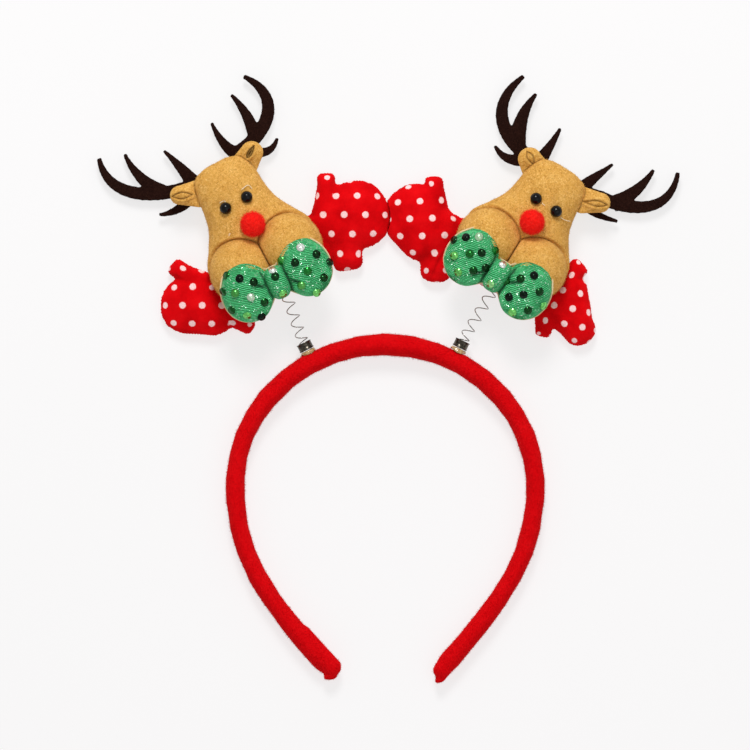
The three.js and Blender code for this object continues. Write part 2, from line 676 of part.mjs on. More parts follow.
const headband = new THREE.Group();
headband.add(hoop);

export default headband;
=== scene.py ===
"""The looks of a Christmas headband: a red felt hoop that carries two stuffed reindeer heads on springs.

Shapes are worked out in millimetres, in the frame of the part or of one head, and stored in metres.
A head's own frame has u to the right of the face, v towards its crown and w out of the face. Its origin
lies between the eyes, on the flat back of the head.
"""

import math

import bpy
import numpy as np
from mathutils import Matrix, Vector
from mathutils.bvhtree import BVHTree


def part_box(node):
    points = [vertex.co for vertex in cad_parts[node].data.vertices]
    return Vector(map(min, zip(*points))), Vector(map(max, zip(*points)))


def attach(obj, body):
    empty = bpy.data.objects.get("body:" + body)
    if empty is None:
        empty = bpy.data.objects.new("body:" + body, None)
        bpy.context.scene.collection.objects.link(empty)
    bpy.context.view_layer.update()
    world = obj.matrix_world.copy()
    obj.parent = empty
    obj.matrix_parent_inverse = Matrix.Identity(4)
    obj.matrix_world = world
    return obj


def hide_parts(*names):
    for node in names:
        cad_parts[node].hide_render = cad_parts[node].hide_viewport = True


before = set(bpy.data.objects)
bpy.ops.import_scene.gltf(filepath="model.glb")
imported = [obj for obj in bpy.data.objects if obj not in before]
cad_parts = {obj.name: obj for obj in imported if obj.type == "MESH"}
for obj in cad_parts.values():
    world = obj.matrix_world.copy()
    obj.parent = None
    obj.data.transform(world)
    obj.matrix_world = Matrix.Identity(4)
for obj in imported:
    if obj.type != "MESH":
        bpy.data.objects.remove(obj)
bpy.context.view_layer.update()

MM = 0.001
BODY = "root"


def middle_of(node):
    """The middle of a solid's box, in millimetres."""
    return sum(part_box(node), Vector()) / 2 / MM


# The middle of the hoop's box, which the camera and the printed dots are placed from.
HOOP_MIDDLE = np.array(middle_of("band"))[:2]

# The photograph's frame: its middle, as seen from the middle of the hoop, and the width that it shows.
VIEW_MIDDLE = (-4.3, 54.5)
VIEW_WIDTH = 315.0
VIEW_LEVEL = 10.0
CAMERA_DISTANCE = 2500.0
SENSOR = 36.0

# Clearance between soft pieces that press on each other.
TOUCH = 0.15

# The two heads, as the solids have them.
HEADS = {
    "left": {"outward": -1, "eye_shift": 0.0, "length": 1.0, "chin_u": 0.7, "foot_turn": 27.5},
    "right": {"outward": 1, "eye_shift": 1.3, "length": 0.93, "chin_u": 1.5, "foot_turn": 26.0},
}
SIDES = ("outer", "inner")

scene = bpy.context.scene
rng = np.random.default_rng(12)


# Arrays and meshes


def ramp(values, low, high):
    """0 below low, 1 above high, and a smooth step between."""
    t = np.clip((values - low) / (high - low), 0, 1)
    return t * t * (3 - 2 * t)


def bell(values, width):
    """1 at zero, falling off to both sides."""
    return np.exp(-((values / width) ** 2))


def through(places, values, at):
    """A smooth curve through a row of values, read at any places."""
    slopes = np.gradient(values, places)
    i = np.clip(np.searchsorted(places, at) - 1, 0, len(places) - 2)
    span = places[i + 1] - places[i]
    t = np.clip((at - places[i]) / span, 0, 1)
    start = (2 * t**3 - 3 * t**2 + 1) * values[i] + (t**3 - 2 * t**2 + t) * span * slopes[i]
    end = (3 * t**2 - 2 * t**3) * values[i + 1] + (t**3 - t**2) * span * slopes[i + 1]
    return start + end


def cubic(start, lean, bend, end, steps):
    """Places along a curve that leaves its start towards lean and comes to its end from bend."""
    t = np.linspace(0, 1, steps)[:, None]
    return (1 - t) ** 3 * start + 3 * t * (1 - t) ** 2 * lean + 3 * t**2 * (1 - t) * bend + t**3 * end


def unit(vectors):
    """Vectors of length 1."""
    return vectors / np.maximum(np.linalg.norm(vectors, axis=-1, keepdims=True), 1e-9)


def table(columns, *rows):
    """Rows of values under the names of their columns."""
    return [dict(zip(columns.split(), row)) for row in rows]


def circle(count):
    """Places evenly round a circle of radius 1."""
    turn = np.arange(count) / count * 2 * math.pi
    return np.stack([np.cos(turn), np.sin(turn)], axis=1)


def spun(degrees):
    """What turns rows of places about the third axis."""
    turn = math.radians(degrees)
    c, s = math.cos(turn), math.sin(turn)
    return np.array([[c, s, 0], [-s, c, 0], [0, 0, 1]])


def lumpy(places, across, bend, bent, up, shift=0.0):
    """Uneven lumps between -1 and 1: bent waves along the first axis over waves along the second."""
    x, y = places[:, 0], places[:, 1]
    return np.sin(across * x + bend * np.sin(bent * y)) * np.sin(up * y + shift)


def read(collection, name, width, kind=np.float32):
    """One property of all of a mesh's points, edges or normals, a row for each."""
    flat = np.empty(len(collection) * width, kind)
    collection.foreach_get(name, flat)
    return flat.reshape(-1, width)


def points_of(obj):
    """A piece's points, in millimetres."""
    return read(obj.data.vertices, "co", 3).astype(float) / MM


def move_points(obj, points):
    obj.data.vertices.foreach_set("co", (points * MM).astype(np.float32).ravel())
    obj.data.update()


def normals_of(obj):
    return read(obj.data.vertex_normals, "vector", 3).astype(float)


def new_piece(name, points, faces):
    """A piece from points in millimetres and faces of any length."""
    mesh = bpy.data.meshes.new(name)
    mesh.from_pydata((np.asarray(points) * MM).tolist(), [], [list(map(int, f)) for f in faces])
    mesh.shade_smooth()
    obj = bpy.data.objects.new(name, mesh)
    scene.collection.objects.link(obj)
    return obj


def loft(rings, closed=False):
    """Points and faces of a skin through rings of equal length, with a fan at both ends or joined round."""
    rings = np.asarray(rings, float)
    count, sides = rings.shape[:2]
    points = rings.reshape(-1, 3)
    faces = []
    for r in range(count if closed else count - 1):
        here, there = r * sides, ((r + 1) % count) * sides
        for k in range(sides):
            n = (k + 1) % sides
            faces.append((here + k, here + n, there + n, there + k))
    if not closed:
        hubs = len(points)
        points = np.vstack([points, rings[0].mean(0), rings[-1].mean(0)])
        last = (count - 1) * sides
        for k in range(sides):
            n = (k + 1) % sides
            faces.append((hubs, n, k))
            faces.append((hubs + 1, last + k, last + n))
    return points, faces


def swept(path, radius, sides, closed=False):
    """Points and faces of a round tube along a path."""
    path = np.asarray(path, float)
    if closed:
        along = unit(np.roll(path, -1, 0) - np.roll(path, 1, 0))
    else:
        along = unit(np.gradient(path, axis=0))
    side = np.cross(along[0], (0.3, 0.2, 1.0))
    around = circle(sides)
    rings = []
    for place, way in zip(path, along):
        side = unit(side - way * side.dot(way))
        up = np.cross(way, side)
        rings.append(place + radius * (around[:, :1] * side + around[:, 1:] * up))
    return loft(rings, closed)


def ball(semi, sides=48, rings=30):
    """Points and faces of an ellipsoid round the origin, with its poles on the third axis."""
    polar = np.linspace(0, math.pi, rings + 1)[1:-1, None]
    around = circle(sides)
    out = np.sin(polar)
    grid = np.broadcast_arrays(out * around[:, 0], out * around[:, 1], -np.cos(polar))
    points, faces = loft(np.stack(grid, axis=-1))
    points[-2], points[-1] = (0, 0, -1), (0, 0, 1)
    return points * np.asarray(semi), faces


def squared(points, power):
    """Turns a section that is round in the first two axes into a fuller one."""
    x, y = points[:, 0], points[:, 1]
    full = (np.abs(x) ** power + np.abs(y) ** power) ** (1 / power)
    made = points.copy()
    made[:, :2] *= (np.hypot(x, y) / np.maximum(full, 1e-6))[:, None]
    return made


def merged(*parts):
    """Several sets of points and faces as one."""
    points, faces, start = [], [], 0
    for some, about in parts:
        points.append(some)
        faces += [[i + start for i in f] for f in about]
        start += len(some)
    return np.vstack(points), faces


def plain(obj):
    """Turns a piece and its modifiers into a plain mesh."""
    graph = bpy.context.evaluated_depsgraph_get()
    mesh = bpy.data.meshes.new_from_object(obj.evaluated_get(graph))
    obj.modifiers.clear()
    old = obj.data
    obj.data = mesh
    bpy.data.meshes.remove(old)
    mesh.name = obj.name
    mesh.shade_smooth()


def reskin(obj, voxel):
    """Gives a piece an even skin of small squares."""
    skin = obj.modifiers.new("skin", "REMESH")
    skin.mode = "VOXEL"
    skin.voxel_size = voxel * MM
    plain(obj)


def refine(obj, levels=1):
    """Divides a piece's faces and rounds them."""
    finer = obj.modifiers.new("finer", "SUBSURF")
    finer.levels = levels
    finer.render_levels = levels
    plain(obj)


# Each round of easing draws the points towards their neighbours, and then pushes them back a little further.
EASE_SHARES = (0.5, -0.52)


def ease(obj, rounds, hold=None):
    """Smooths a piece and keeps its volume. Points whose hold is 1 stay."""
    edges = read(obj.data.edges, "vertices", 2, np.int32)
    points = points_of(obj)
    count = np.maximum(np.bincount(edges.ravel(), minlength=len(points)), 1)[:, None]
    free = 1.0 if hold is None else (1.0 - hold)[:, None]
    for _ in range(rounds):
        for share in EASE_SHARES:
            total = np.empty_like(points)
            for axis in range(3):
                total[:, axis] = np.bincount(
                    edges.ravel(), points[edges[:, ::-1].ravel(), axis], minlength=len(points)
                )
            points += share * free * (total / count - points)
    move_points(obj, points)


def mark(obj, name, values):
    """Stores a number for each point of a piece, for its material or its nap."""
    layer = obj.data.attributes.new(name, "FLOAT", "POINT")
    layer.data.foreach_set("value", np.asarray(values, np.float32))


def tree_of(obj):
    """A piece's skin, to look for places on it."""
    faces = [tuple(p.vertices) for p in obj.data.polygons]
    return BVHTree.FromPolygons(points_of(obj).tolist(), faces, epsilon=0.0)


def clear_of(obj, tree, gap=TOUCH, reach=8.0, rounds=2):
    """Presses a soft piece back to where another one's skin lets it be."""
    points = points_of(obj)
    for _ in range(rounds):
        for i, place in enumerate(points):
            near, normal, _, _ = tree.find_nearest(Vector(place), reach)
            if near is None:
                continue
            depth = (Vector(place) - near).dot(normal)
            if depth < gap:
                points[i] += np.array(normal) * (gap - depth)
    move_points(obj, points)


# Stuffing

# The cloth is simulated enlarged, because the solver is made for larger things.
STUFFING = {"scale": 10.0, "frames": 20, "quality": 5, "bending": 1.5, "least_hold": 0.02}


def stuff(obj, pressure, most, sewn=None):
    """Fills a sewn skin: cloth under pressure, where no point moves further than most. Sewn points stay."""
    start = points_of(obj)
    move_points(obj, start * STUFFING["scale"])
    cloth = obj.modifiers.new("stuffing", "CLOTH")
    if sewn is not None:
        group = obj.vertex_groups.new(name="sewn")
        for i in np.flatnonzero(sewn > STUFFING["least_hold"]):
            group.add([int(i)], float(min(1.0, sewn[i])), "REPLACE")
        cloth.settings.vertex_group_mass = "sewn"
    cloth.settings.quality = STUFFING["quality"]
    cloth.settings.use_pressure = True
    cloth.settings.uniform_pressure_force = pressure
    cloth.settings.effector_weights.gravity = 0
    cloth.settings.bending_stiffness = STUFFING["bending"]
    cloth.collision_settings.use_collision = False
    cloth.collision_settings.use_self_collision = False
    cloth.point_cache.frame_start = 1
    cloth.point_cache.frame_end = STUFFING["frames"]
    for number in range(1, STUFFING["frames"] + 1):
        scene.frame_set(number)
    plain(obj)
    scene.frame_set(1)
    obj.vertex_groups.clear()
    moved = points_of(obj) / STUFFING["scale"] - start
    length = np.linalg.norm(moved, axis=1, keepdims=True)
    move_points(obj, start + moved * np.minimum(1, most / np.maximum(length, 1e-6)))


# The heads' own frames


class Axes:
    """A head's own frame, found from its eyes and the flat back of its head."""

    def __init__(self, name, facts):
        eyes = [middle_of(f"{name}_eye_{side}") for side in SIDES]
        across = np.array(eyes[0] - eyes[1]) * facts["outward"]
        across[2] = 0
        self.u = unit(across)
        self.w = np.array((0.0, 0.0, 1.0))
        self.v = np.cross(self.w, self.u)
        middle = np.array(eyes[0] + eyes[1]) / 2 - facts["eye_shift"] * self.u
        self.origin = np.array((middle[0], middle[1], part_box(f"{name}_head")[0].z / MM))
        self.turn = np.stack([self.u, self.v, self.w])
        self.name = name
        self.__dict__.update(facts)

    def place(self, local):
        return np.asarray(local, float) @ self.turn + self.origin

    def local(self, places):
        return (np.asarray(places, float) - self.origin) @ self.turn.T

    def sign(self, side):
        return self.outward if side == "outer" else -self.outward


heads = [Axes(name, facts) for name, facts in HEADS.items()]


# Shader parts


class Nodes:
    """Adds nodes to a tree and links them."""

    def __init__(self, tree):
        self.tree = tree

    def add(self, kind, inputs=None, out=0, **settings):
        node = self.tree.nodes.new(kind)
        for name, value in settings.items():
            setattr(node, name, value)
        for name, value in (inputs or {}).items():
            if isinstance(value, bpy.types.NodeSocket):
                self.tree.links.new(value, node.inputs[name])
            else:
                node.inputs[name].default_value = value
        return node if out is None else node.outputs[out]

    def feed(self, sockets, **values):
        """Links values to sockets, which are named here with _ for a space."""
        for label, value in values.items():
            self.tree.links.new(value, sockets[label.replace("_", " ")])

    def noise(self, vector, scale, detail=3.0, roughness=0.55, distortion=0.0):
        grain = {"Detail": detail, "Roughness": roughness, "Distortion": distortion}
        return self.add("ShaderNodeTexNoise", {"Vector": vector, "Scale": scale, **grain})

    def math(self, operation, a, b=0.0):
        return self.add("ShaderNodeMath", {0: a, 1: b}, operation=operation)

    def span(self, value, low, high, to_low=0.0, to_high=1.0):
        ends = {"From Min": low, "From Max": high, "To Min": to_low, "To Max": to_high}
        return self.add("ShaderNodeMapRange", {"Value": value, **ends}, interpolation_type="SMOOTHSTEP")

    def mix(self, share, a, b):
        return self.add("ShaderNodeMix", {0: share, 6: a, 7: b}, out=2, data_type="RGBA")

    def colours(self, value, *stops):
        """A colour for each value. The stops are places and colours as they look on a screen."""
        node = self.add("ShaderNodeValToRGB", {"Fac": value}, out=None)
        elements = node.color_ramp.elements
        while len(elements) < len(stops):
            elements.new(0.5)
        for element, (place, colour) in zip(elements, stops):
            element.position = place
            element.color = linear(*colour)
        return node.outputs[0]

    def bump(self, height, strength, distance):
        sizes = {"Strength": strength, "Distance": distance * MM}
        return self.add("ShaderNodeBump", {"Height": height, **sizes})

    def attribute(self, name):
        return self.add("ShaderNodeAttribute", out="Fac", attribute_name=name)

    def group(self, tree, inputs):
        return self.add("ShaderNodeGroup", inputs, out=None, node_tree=tree).outputs


def linear(red, green, blue):
    """A colour as it looks on a screen, from 0 to 255, as the shader needs it."""
    shares = np.array((red, green, blue)) / 255
    values = np.where(shares <= 0.04045, shares / 12.92, ((shares + 0.055) / 1.055) ** 2.4)
    return (*map(float, values), 1.0)


def effect(name, inputs, outputs):
    """An empty shader group and the ends to build between. Its sockets hold numbers, but for the vector."""
    tree = bpy.data.node_groups.new(name, "ShaderNodeTree")
    tree.interface.new_socket("Vector", in_out="INPUT", socket_type="NodeSocketVector")
    for label, value in inputs.items():
        socket = tree.interface.new_socket(label, in_out="INPUT", socket_type="NodeSocketFloat")
        socket.default_value = value
    for label in outputs:
        tree.interface.new_socket(label, in_out="OUTPUT", socket_type="NodeSocketFloat")
    nodes = Nodes(tree)
    given = nodes.add("NodeGroupInput", out=None).outputs
    wanted = nodes.add("NodeGroupOutput", out=None).inputs
    return nodes, given, wanted


def fibre_effect():
    """Matted fibres: a fine speckle over a slow mottle, and the height of the nap."""
    nodes, given, wanted = effect(
        "matted_fibres", {"Fibre": 0.5, "Patch": 5.0, "Twist": 1.5}, ("Speckle", "Mottle", "Height")
    )
    where, twist = given["Vector"], given["Twist"]
    fine = nodes.math("DIVIDE", 1 / MM, given["Fibre"])
    broad = nodes.math("DIVIDE", 1 / MM, given["Patch"])
    speckle = nodes.noise(where, fine, 2.0, 0.6, twist)
    mottle = nodes.noise(where, broad, 3.0, 0.6)
    strands = nodes.noise(where, nodes.math("MULTIPLY", fine, 1.7), 2.0, 0.7, twist)
    height = nodes.math("ADD", nodes.math("MULTIPLY", strands, 0.6), nodes.math("MULTIPLY", speckle, 0.6))
    nodes.feed(wanted, Speckle=speckle, Mottle=mottle, Height=height)
    return nodes.tree


def weave_effect():
    """A plain weave: threads over and under each other, in two directions."""
    nodes, given, wanted = effect("plain_weave", {"Thread": 0.4}, ("Height", "Shade"))
    split = nodes.add("ShaderNodeSeparateXYZ", {"Vector": given["Vector"]}, out=None).outputs
    pitch = nodes.math("DIVIDE", math.pi / MM, given["Thread"])
    waves = [nodes.math("SINE", nodes.math("MULTIPLY", split[axis], pitch)) for axis in ("X", "Y")]
    threads = nodes.math("ABSOLUTE", nodes.math("MULTIPLY", *waves))
    loose = nodes.noise(given["Vector"], nodes.math("DIVIDE", 1 / MM, given["Thread"]), 2.0)
    height = nodes.math("ADD", threads, nodes.math("MULTIPLY", loose, 0.6))
    nodes.feed(wanted, Height=height, Shade=loose)
    return nodes.tree


FIBRES = fibre_effect()
WEAVE = weave_effect()


def material(name, **constants):
    """A new material, its nodes, its shader's sockets and the object's coordinates."""
    made = bpy.data.materials.new(name)
    made.use_nodes = True
    tree = made.node_tree
    shader = tree.nodes["Principled BSDF"].inputs
    for label, value in constants.items():
        shader[label.replace("_", " ")].default_value = value
    nodes = Nodes(tree)
    where = nodes.add("ShaderNodeTexCoord", out="Object")
    return made, nodes, shader, where


# Fleece, felt and pompom yarn: three tones, the size in millimetres of a fibre and of a mottled patch, how
# deep the nap is, its sheen and the sheen's tint, and a painted glow that stands in for the light that yarn
# lets through.
FUZZ = table(
    "name dark middle pale tint fibre patch depth sheen glow",
    ("tan_fleece", (160, 105, 38), (221, 165, 78), (250, 208, 130), (255, 226, 170), 0.65, 4, 0.35, 0.15, 0),
    ("red_felt", (182, 0, 6), (218, 3, 11), (236, 20, 26), (255, 70, 70), 0.6, 6, 0.3, 0.08, 0),
    ("brown_felt", (18, 7, 5), (33, 15, 11), (56, 32, 24), (120, 90, 80), 0.5, 5, 0.25, 0.05, 0),
    ("pompom_yarn", (226, 14, 12), (252, 34, 26), (255, 78, 64), (255, 120, 110), 0.5, 2.5, 0.3, 0.2, 0.15),
    ("cream_felt", (200, 160, 110), (232, 204, 160), (248, 232, 200), (255, 240, 220), 0.4, 3, 0.2, 0.2, 0),
)
# How dark the painted shade at the bottom of a fold is, as a share of the middle colour, and how much of a
# fuzzy colour is mottle.
FOLD_SHADE = 0.05
MOTTLE_SHARE = 0.25


def fuzzy(row):
    """Matted fibres in tones of one colour, with painted shade where the piece is marked with shade."""
    middle = linear(*row["middle"])
    # The glow is painted light: the middle colour given off evenly, in place of light that passes through the
    # yarn.
    made, nodes, shader, where = material(
        row["name"], Roughness=0.95, Specular_IOR_Level=0.05,
        Emission_Color=middle, Emission_Strength=row["glow"],
        Sheen_Weight=row["sheen"], Sheen_Roughness=0.45, Sheen_Tint=linear(*row["tint"]),
    )
    nap = nodes.group(FIBRES, {"Vector": where, "Fibre": row["fibre"], "Patch": row["patch"], "Twist": 1.2})
    shades = (row["dark"], row["middle"], row["pale"])
    speckle = nodes.colours(nap["Speckle"], *zip((0.28, 0.5, 0.74), shades))
    slow = nodes.colours(nap["Mottle"], *zip((0.2, 0.5, 0.8), shades))
    lit = nodes.mix(MOTTLE_SHARE, speckle, slow)
    # Painted shade: a near-black version of the middle colour, mixed in where the piece is marked with shade.
    deep = (*(FOLD_SHADE * value for value in middle[:3]), 1.0)
    colour = nodes.mix(nodes.attribute("shade"), lit, deep)
    nodes.feed(shader, Base_Color=colour, Normal=nodes.bump(nap["Height"], 0.6, row["depth"]))
    return made


FLEECE, RED_FELT, BROWN_FELT, POMPOM_YARN, CREAM_FELT = map(fuzzy, FUZZ)

DOT = {"radius": 1.4, "edge": 0.2, "ragged": 0.5}
THREAD = 0.42


def dotted_cloth():
    made, nodes, shader, where = material(
        "dotted_cloth", Roughness=0.9, Specular_IOR_Level=0.06,
        Sheen_Weight=0.05, Sheen_Roughness=0.5, Sheen_Tint=linear(255, 90, 90),
    )
    weave = nodes.group(WEAVE, {"Vector": where, "Thread": THREAD})
    nap = nodes.group(FIBRES, {"Vector": where, "Fibre": 0.5, "Patch": 9.0, "Twist": 0.8})
    red = nodes.colours(nap["Mottle"], (0.3, (196, 0, 6)), (0.5, (218, 2, 10)), (0.7, (230, 8, 16)))
    white = nodes.colours(weave["Shade"], (0.3, (250, 190, 192)), (0.7, (255, 232, 230)))
    ragged = nodes.math("MULTIPLY", nodes.math("SUBTRACT", nap["Speckle"], 0.5), DOT["ragged"])
    reach = nodes.math("ADD", nodes.attribute("dot"), ragged)
    printed = nodes.span(reach, DOT["radius"] - DOT["edge"], DOT["radius"] + DOT["edge"], 1.0, 0.0)
    colour = nodes.mix(printed, red, white)
    nodes.feed(shader, Base_Color=colour, Normal=nodes.bump(weave["Height"], 0.35, 0.12))
    return made


# The green knit: how far apart its ribs are and how much they wander, and the size of its glints and which of
# the values from 0 to 1 they take up. The glints are glossy metal threads, painted almost white as
# highlights.
RIB_PITCH = 0.84
RIB_WOBBLE = 1.6
GLINT = {"size": 0.4, "from": 0.94, "to": 0.96}


def sequin_knit():
    made, nodes, shader, where = material(
        "sequin_knit", Specular_IOR_Level=0.3, Sheen_Weight=0.05, Sheen_Tint=linear(120, 240, 160)
    )
    nap = nodes.group(FIBRES, {"Vector": where, "Fibre": 0.45, "Patch": 5.0, "Twist": 0.6})
    wobble = nodes.math("MULTIPLY", nodes.math("SUBTRACT", nap["Mottle"], 0.5), RIB_WOBBLE)
    across = nodes.math("ADD", nodes.attribute("rib"), wobble)
    wave = nodes.math("SINE", nodes.math("MULTIPLY", across, 2 * math.pi / RIB_PITCH))
    rib = nodes.span(wave, -1.0, 1.0)
    # Painted light and shade on the ribs: pale on their crests, dark in the grooves between them.
    ground = nodes.colours(rib, (0.0, (10, 108, 54)), (0.35, (34, 170, 92)), (1.0, (94, 214, 142)))
    # Glints: a few cells are glossy metal threads, painted almost white as highlights.
    size = {"Vector": where, "Scale": 1 / (GLINT["size"] * MM)}
    cells = nodes.add("ShaderNodeTexVoronoi", size, out="Color")
    pick = nodes.add("ShaderNodeSeparateColor", {"Color": cells})
    glint = nodes.span(pick, GLINT["from"], GLINT["to"])
    shaded = nodes.mix(nodes.span(pick, 0.0, 0.3, 0.35, 0.0), ground, linear(4, 70, 38))
    sparkling = nodes.mix(glint, shaded, linear(214, 255, 226))
    relief = nodes.math("ADD", rib, nodes.math("MULTIPLY", nap["Speckle"], 0.8))
    nodes.feed(
        shader,
        # Painted shade darkens the knit where the bow is marked with shade: in its creases and beside the
        # knot.
        Base_Color=nodes.mix(nodes.attribute("shade"), sparkling, linear(2, 34, 18)),
        Roughness=nodes.span(glint, 0.0, 1.0, 0.62, 0.18),
        Metallic=nodes.math("MULTIPLY", glint, 0.6),
        Normal=nodes.bump(relief, 0.7, 0.22),
    )
    return made


def sequin_foil():
    made, nodes, shader, where = material("sequin_foil", Metallic=0.9, Coat_Weight=0.15, Coat_Roughness=0.05)
    # Each sequin's colour is a painted reflection, from dark green to white.
    foil = nodes.colours(
        nodes.attribute("tone"),
        (0.0, (2, 20, 10)), (0.4, (28, 130, 48)), (0.7, (130, 226, 116)), (1.0, (246, 255, 246)),
    )
    scratch = nodes.noise(where, 1 / (0.7 * MM))
    scratched = nodes.mix(nodes.span(scratch, 0.5, 0.8, 0.0, 0.08), foil, linear(120, 200, 140))
    nodes.feed(shader, Base_Color=scratched, Roughness=nodes.span(scratch, 0.3, 0.8, 0.12, 0.34))
    return made


def bead_plastic():
    made, nodes, shader, where = material(
        "bead_plastic", Specular_IOR_Level=0.12, Coat_Weight=0.2, Coat_Roughness=0.03
    )
    cloud = nodes.noise(where, 1 / (1.5 * MM))
    black = nodes.colours(cloud, (0.3, (3, 3, 4)), (0.7, (10, 9, 10)))
    nodes.feed(shader, Base_Color=black, Roughness=nodes.span(cloud, 0.3, 0.7, 0.08, 0.18))
    return made


def drawn_metal(name, dark, pale, grain, rough):
    made, nodes, shader, where = material(name, Metallic=1.0)
    lines = nodes.noise(where, 1 / (grain * MM), 4.0, 0.6, 0.8)
    nodes.feed(
        shader,
        Base_Color=nodes.colours(lines, (0.35, dark), (0.65, pale)),
        Roughness=nodes.span(lines, 0.3, 0.7, rough * 0.6, rough * 1.4),
        Normal=nodes.bump(lines, 0.25, 0.05),
    )
    return made


def hot_glue(name, dark, pale, clear):
    made, nodes, shader, where = material(
        name, Roughness=0.22, Transmission_Weight=clear, IOR=1.48, Coat_Weight=0.4
    )
    cloud = nodes.noise(where, 1 / (1.2 * MM))
    amber = nodes.colours(cloud, (0.3, dark), (0.7, pale))
    nodes.feed(shader, Base_Color=amber, Normal=nodes.bump(cloud, 0.4, 0.2))
    return made


DOTTED = dotted_cloth()
KNIT = sequin_knit()
FOIL = sequin_foil()
BEAD = bead_plastic()
WIRE = drawn_metal("spring_wire", (120, 118, 116), (196, 194, 190), 0.5, 0.25)
NICKEL = drawn_metal("dark_nickel", (34, 30, 27), (104, 98, 88), 1.4, 0.22)
GLUE = hot_glue("hot_glue", (176, 128, 66), (236, 208, 150), 0.35)
GLUE_THREAD = hot_glue("glue_thread", (250, 226, 170), (255, 250, 232), 0.0)


def finished(obj, finish, stands_for=()):
    """Gives a piece its material, hangs it from the body's empty, and hides the solids that it stands for."""
    obj.data.materials.clear()
    obj.data.materials.append(finish)
    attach(obj, BODY)
    if stands_for:
        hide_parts(*stands_for)
    return obj


# Geometry Nodes


class Tree(Nodes):
    """A Geometry Nodes tree with named inputs."""

    def __init__(self, name, **inputs):
        tree = bpy.data.node_groups.new(name, "GeometryNodeTree")
        super().__init__(tree)
        tree.interface.new_socket("Geometry", in_out="INPUT", socket_type="NodeSocketGeometry")
        self.sockets = {}
        for label, kind in inputs.items():
            socket = tree.interface.new_socket(label, in_out="INPUT", socket_type=f"NodeSocket{kind}")
            self.sockets[label] = socket.identifier
        tree.interface.new_socket("Geometry", in_out="OUTPUT", socket_type="NodeSocketGeometry")
        self.given = self.add("NodeGroupInput", out=None).outputs
        self.wanted = self.add("NodeGroupOutput", out=None).inputs

    def end(self, instances):
        real = self.add("GeometryNodeRealizeInstances", {"Geometry": instances})
        dressed = self.add("GeometryNodeSetMaterial", {"Geometry": real, "Material": self.given["Material"]})
        self.feed(self.wanted, Geometry=dressed)
        return self

    def grow(self, obj, name, **values):
        """A new plain piece that this tree makes from another one's mesh."""
        piece = bpy.data.objects.new(name, obj.data.copy())
        scene.collection.objects.link(piece)
        maker = piece.modifiers.new("maker", "NODES")
        maker.node_group = self.tree
        for label, value in values.items():
            maker[self.sockets[label]] = value
        plain(piece)
        return piece


# Fibres of a nap: how thick they are, how far they lean, and how long the shortest and the longest are.
FIBRE = {"thickness": 0.11, "lean": 1.3, "shortest": 0.55, "longest": 1.15}


def nap_tree():
    """Short fibres that stand out of a skin at all angles, but not where it is marked as covered."""
    tree = Tree("short_nap", Density="Float", Length="Float", Thickness="Float", Lean="Float", Seed="Int",
                Material="Material")
    given = tree.given
    seed = {"Seed": given["Seed"]}
    covered = tree.add("GeometryNodeInputNamedAttribute", {"Name": "covered"}, data_type="FLOAT")
    bare = tree.add("FunctionNodeCompare", {"A": covered, "B": 0.5}, operation="LESS_THAN", data_type="FLOAT")
    skin = {"Mesh": given["Geometry"], "Selection": bare, "Density": given["Density"], **seed}
    spread = tree.add("GeometryNodeDistributePointsOnFaces", skin, out=None).outputs
    ends = {0: (-1, -1, -1), 1: (1, 1, 1), **seed}
    stray = tree.add("FunctionNodeRandomValue", ends, data_type="FLOAT_VECTOR")
    leaning = tree.add("ShaderNodeVectorMath", {0: stray, "Scale": given["Lean"]}, operation="SCALE")
    way = tree.add("ShaderNodeVectorMath", {0: leaning, 1: spread["Normal"]}, operation="ADD")
    turn = tree.add("FunctionNodeAlignRotationToVector", {"Vector": way}, axis="Z")
    lengths = {2: FIBRE["shortest"], 3: FIBRE["longest"], **seed}
    size = tree.add("FunctionNodeRandomValue", lengths, out=1, data_type="FLOAT")
    radius = tree.math("MULTIPLY", given["Thickness"], 0.5)
    sizes = {"Vertices": 3, "Radius Top": 0.0, "Radius Bottom": radius, "Depth": given["Length"]}
    fibre = tree.add("GeometryNodeMeshCone", sizes)
    plants = {"Points": spread["Points"], "Instance": fibre, "Rotation": turn, "Scale": size}
    return tree.end(tree.add("GeometryNodeInstanceOnPoints", plants))


def sequin_tree():
    """Flat discs on points, each facing the way that its point says."""
    tree = Tree("sequins", Diameter="Float", Thickness="Float", Material="Material")
    facing = tree.add("GeometryNodeInputNamedAttribute", {"Name": "facing"}, data_type="FLOAT_VECTOR")
    turn = tree.add("FunctionNodeAlignRotationToVector", {"Vector": facing}, axis="Z")
    radius = tree.math("MULTIPLY", tree.given["Diameter"], 0.5)
    sizes = {"Vertices": 24, "Radius": radius, "Depth": tree.given["Thickness"]}
    disc = tree.add("GeometryNodeMeshCylinder", sizes)
    sewn = {"Points": tree.given["Geometry"], "Instance": disc, "Rotation": turn}
    return tree.end(tree.add("GeometryNodeInstanceOnPoints", sewn))


NAP = nap_tree()
SEQUINS = sequin_tree()


def with_nap(obj, finish, per_mm2, length, seed, lean=FIBRE["lean"]):
    """Grows a short nap on a piece, as a piece of its own."""
    nap = NAP.grow(
        obj, f"{obj.name}_nap", Density=per_mm2 / MM**2, Length=length * MM,
        Thickness=FIBRE["thickness"] * MM, Lean=lean, Seed=seed, Material=finish,
    )
    return finished(nap, finish)


# Camera, floor and light

FLOOR_HALF = 3000.0
SOFTBOXES = (
    {"name": "key", "at": (-60.0, 880.0, 950.0), "size": 380.0, "power": 10.0},
    {"name": "fill", "at": (600.0, -300.0, 1300.0), "size": 1200.0, "power": 2.0},
)
AMBIENT = 0.52
# The pale table glows a little, as one lit from below does, so that shadows on it stay faint.
TABLE_GLOW = 0.72


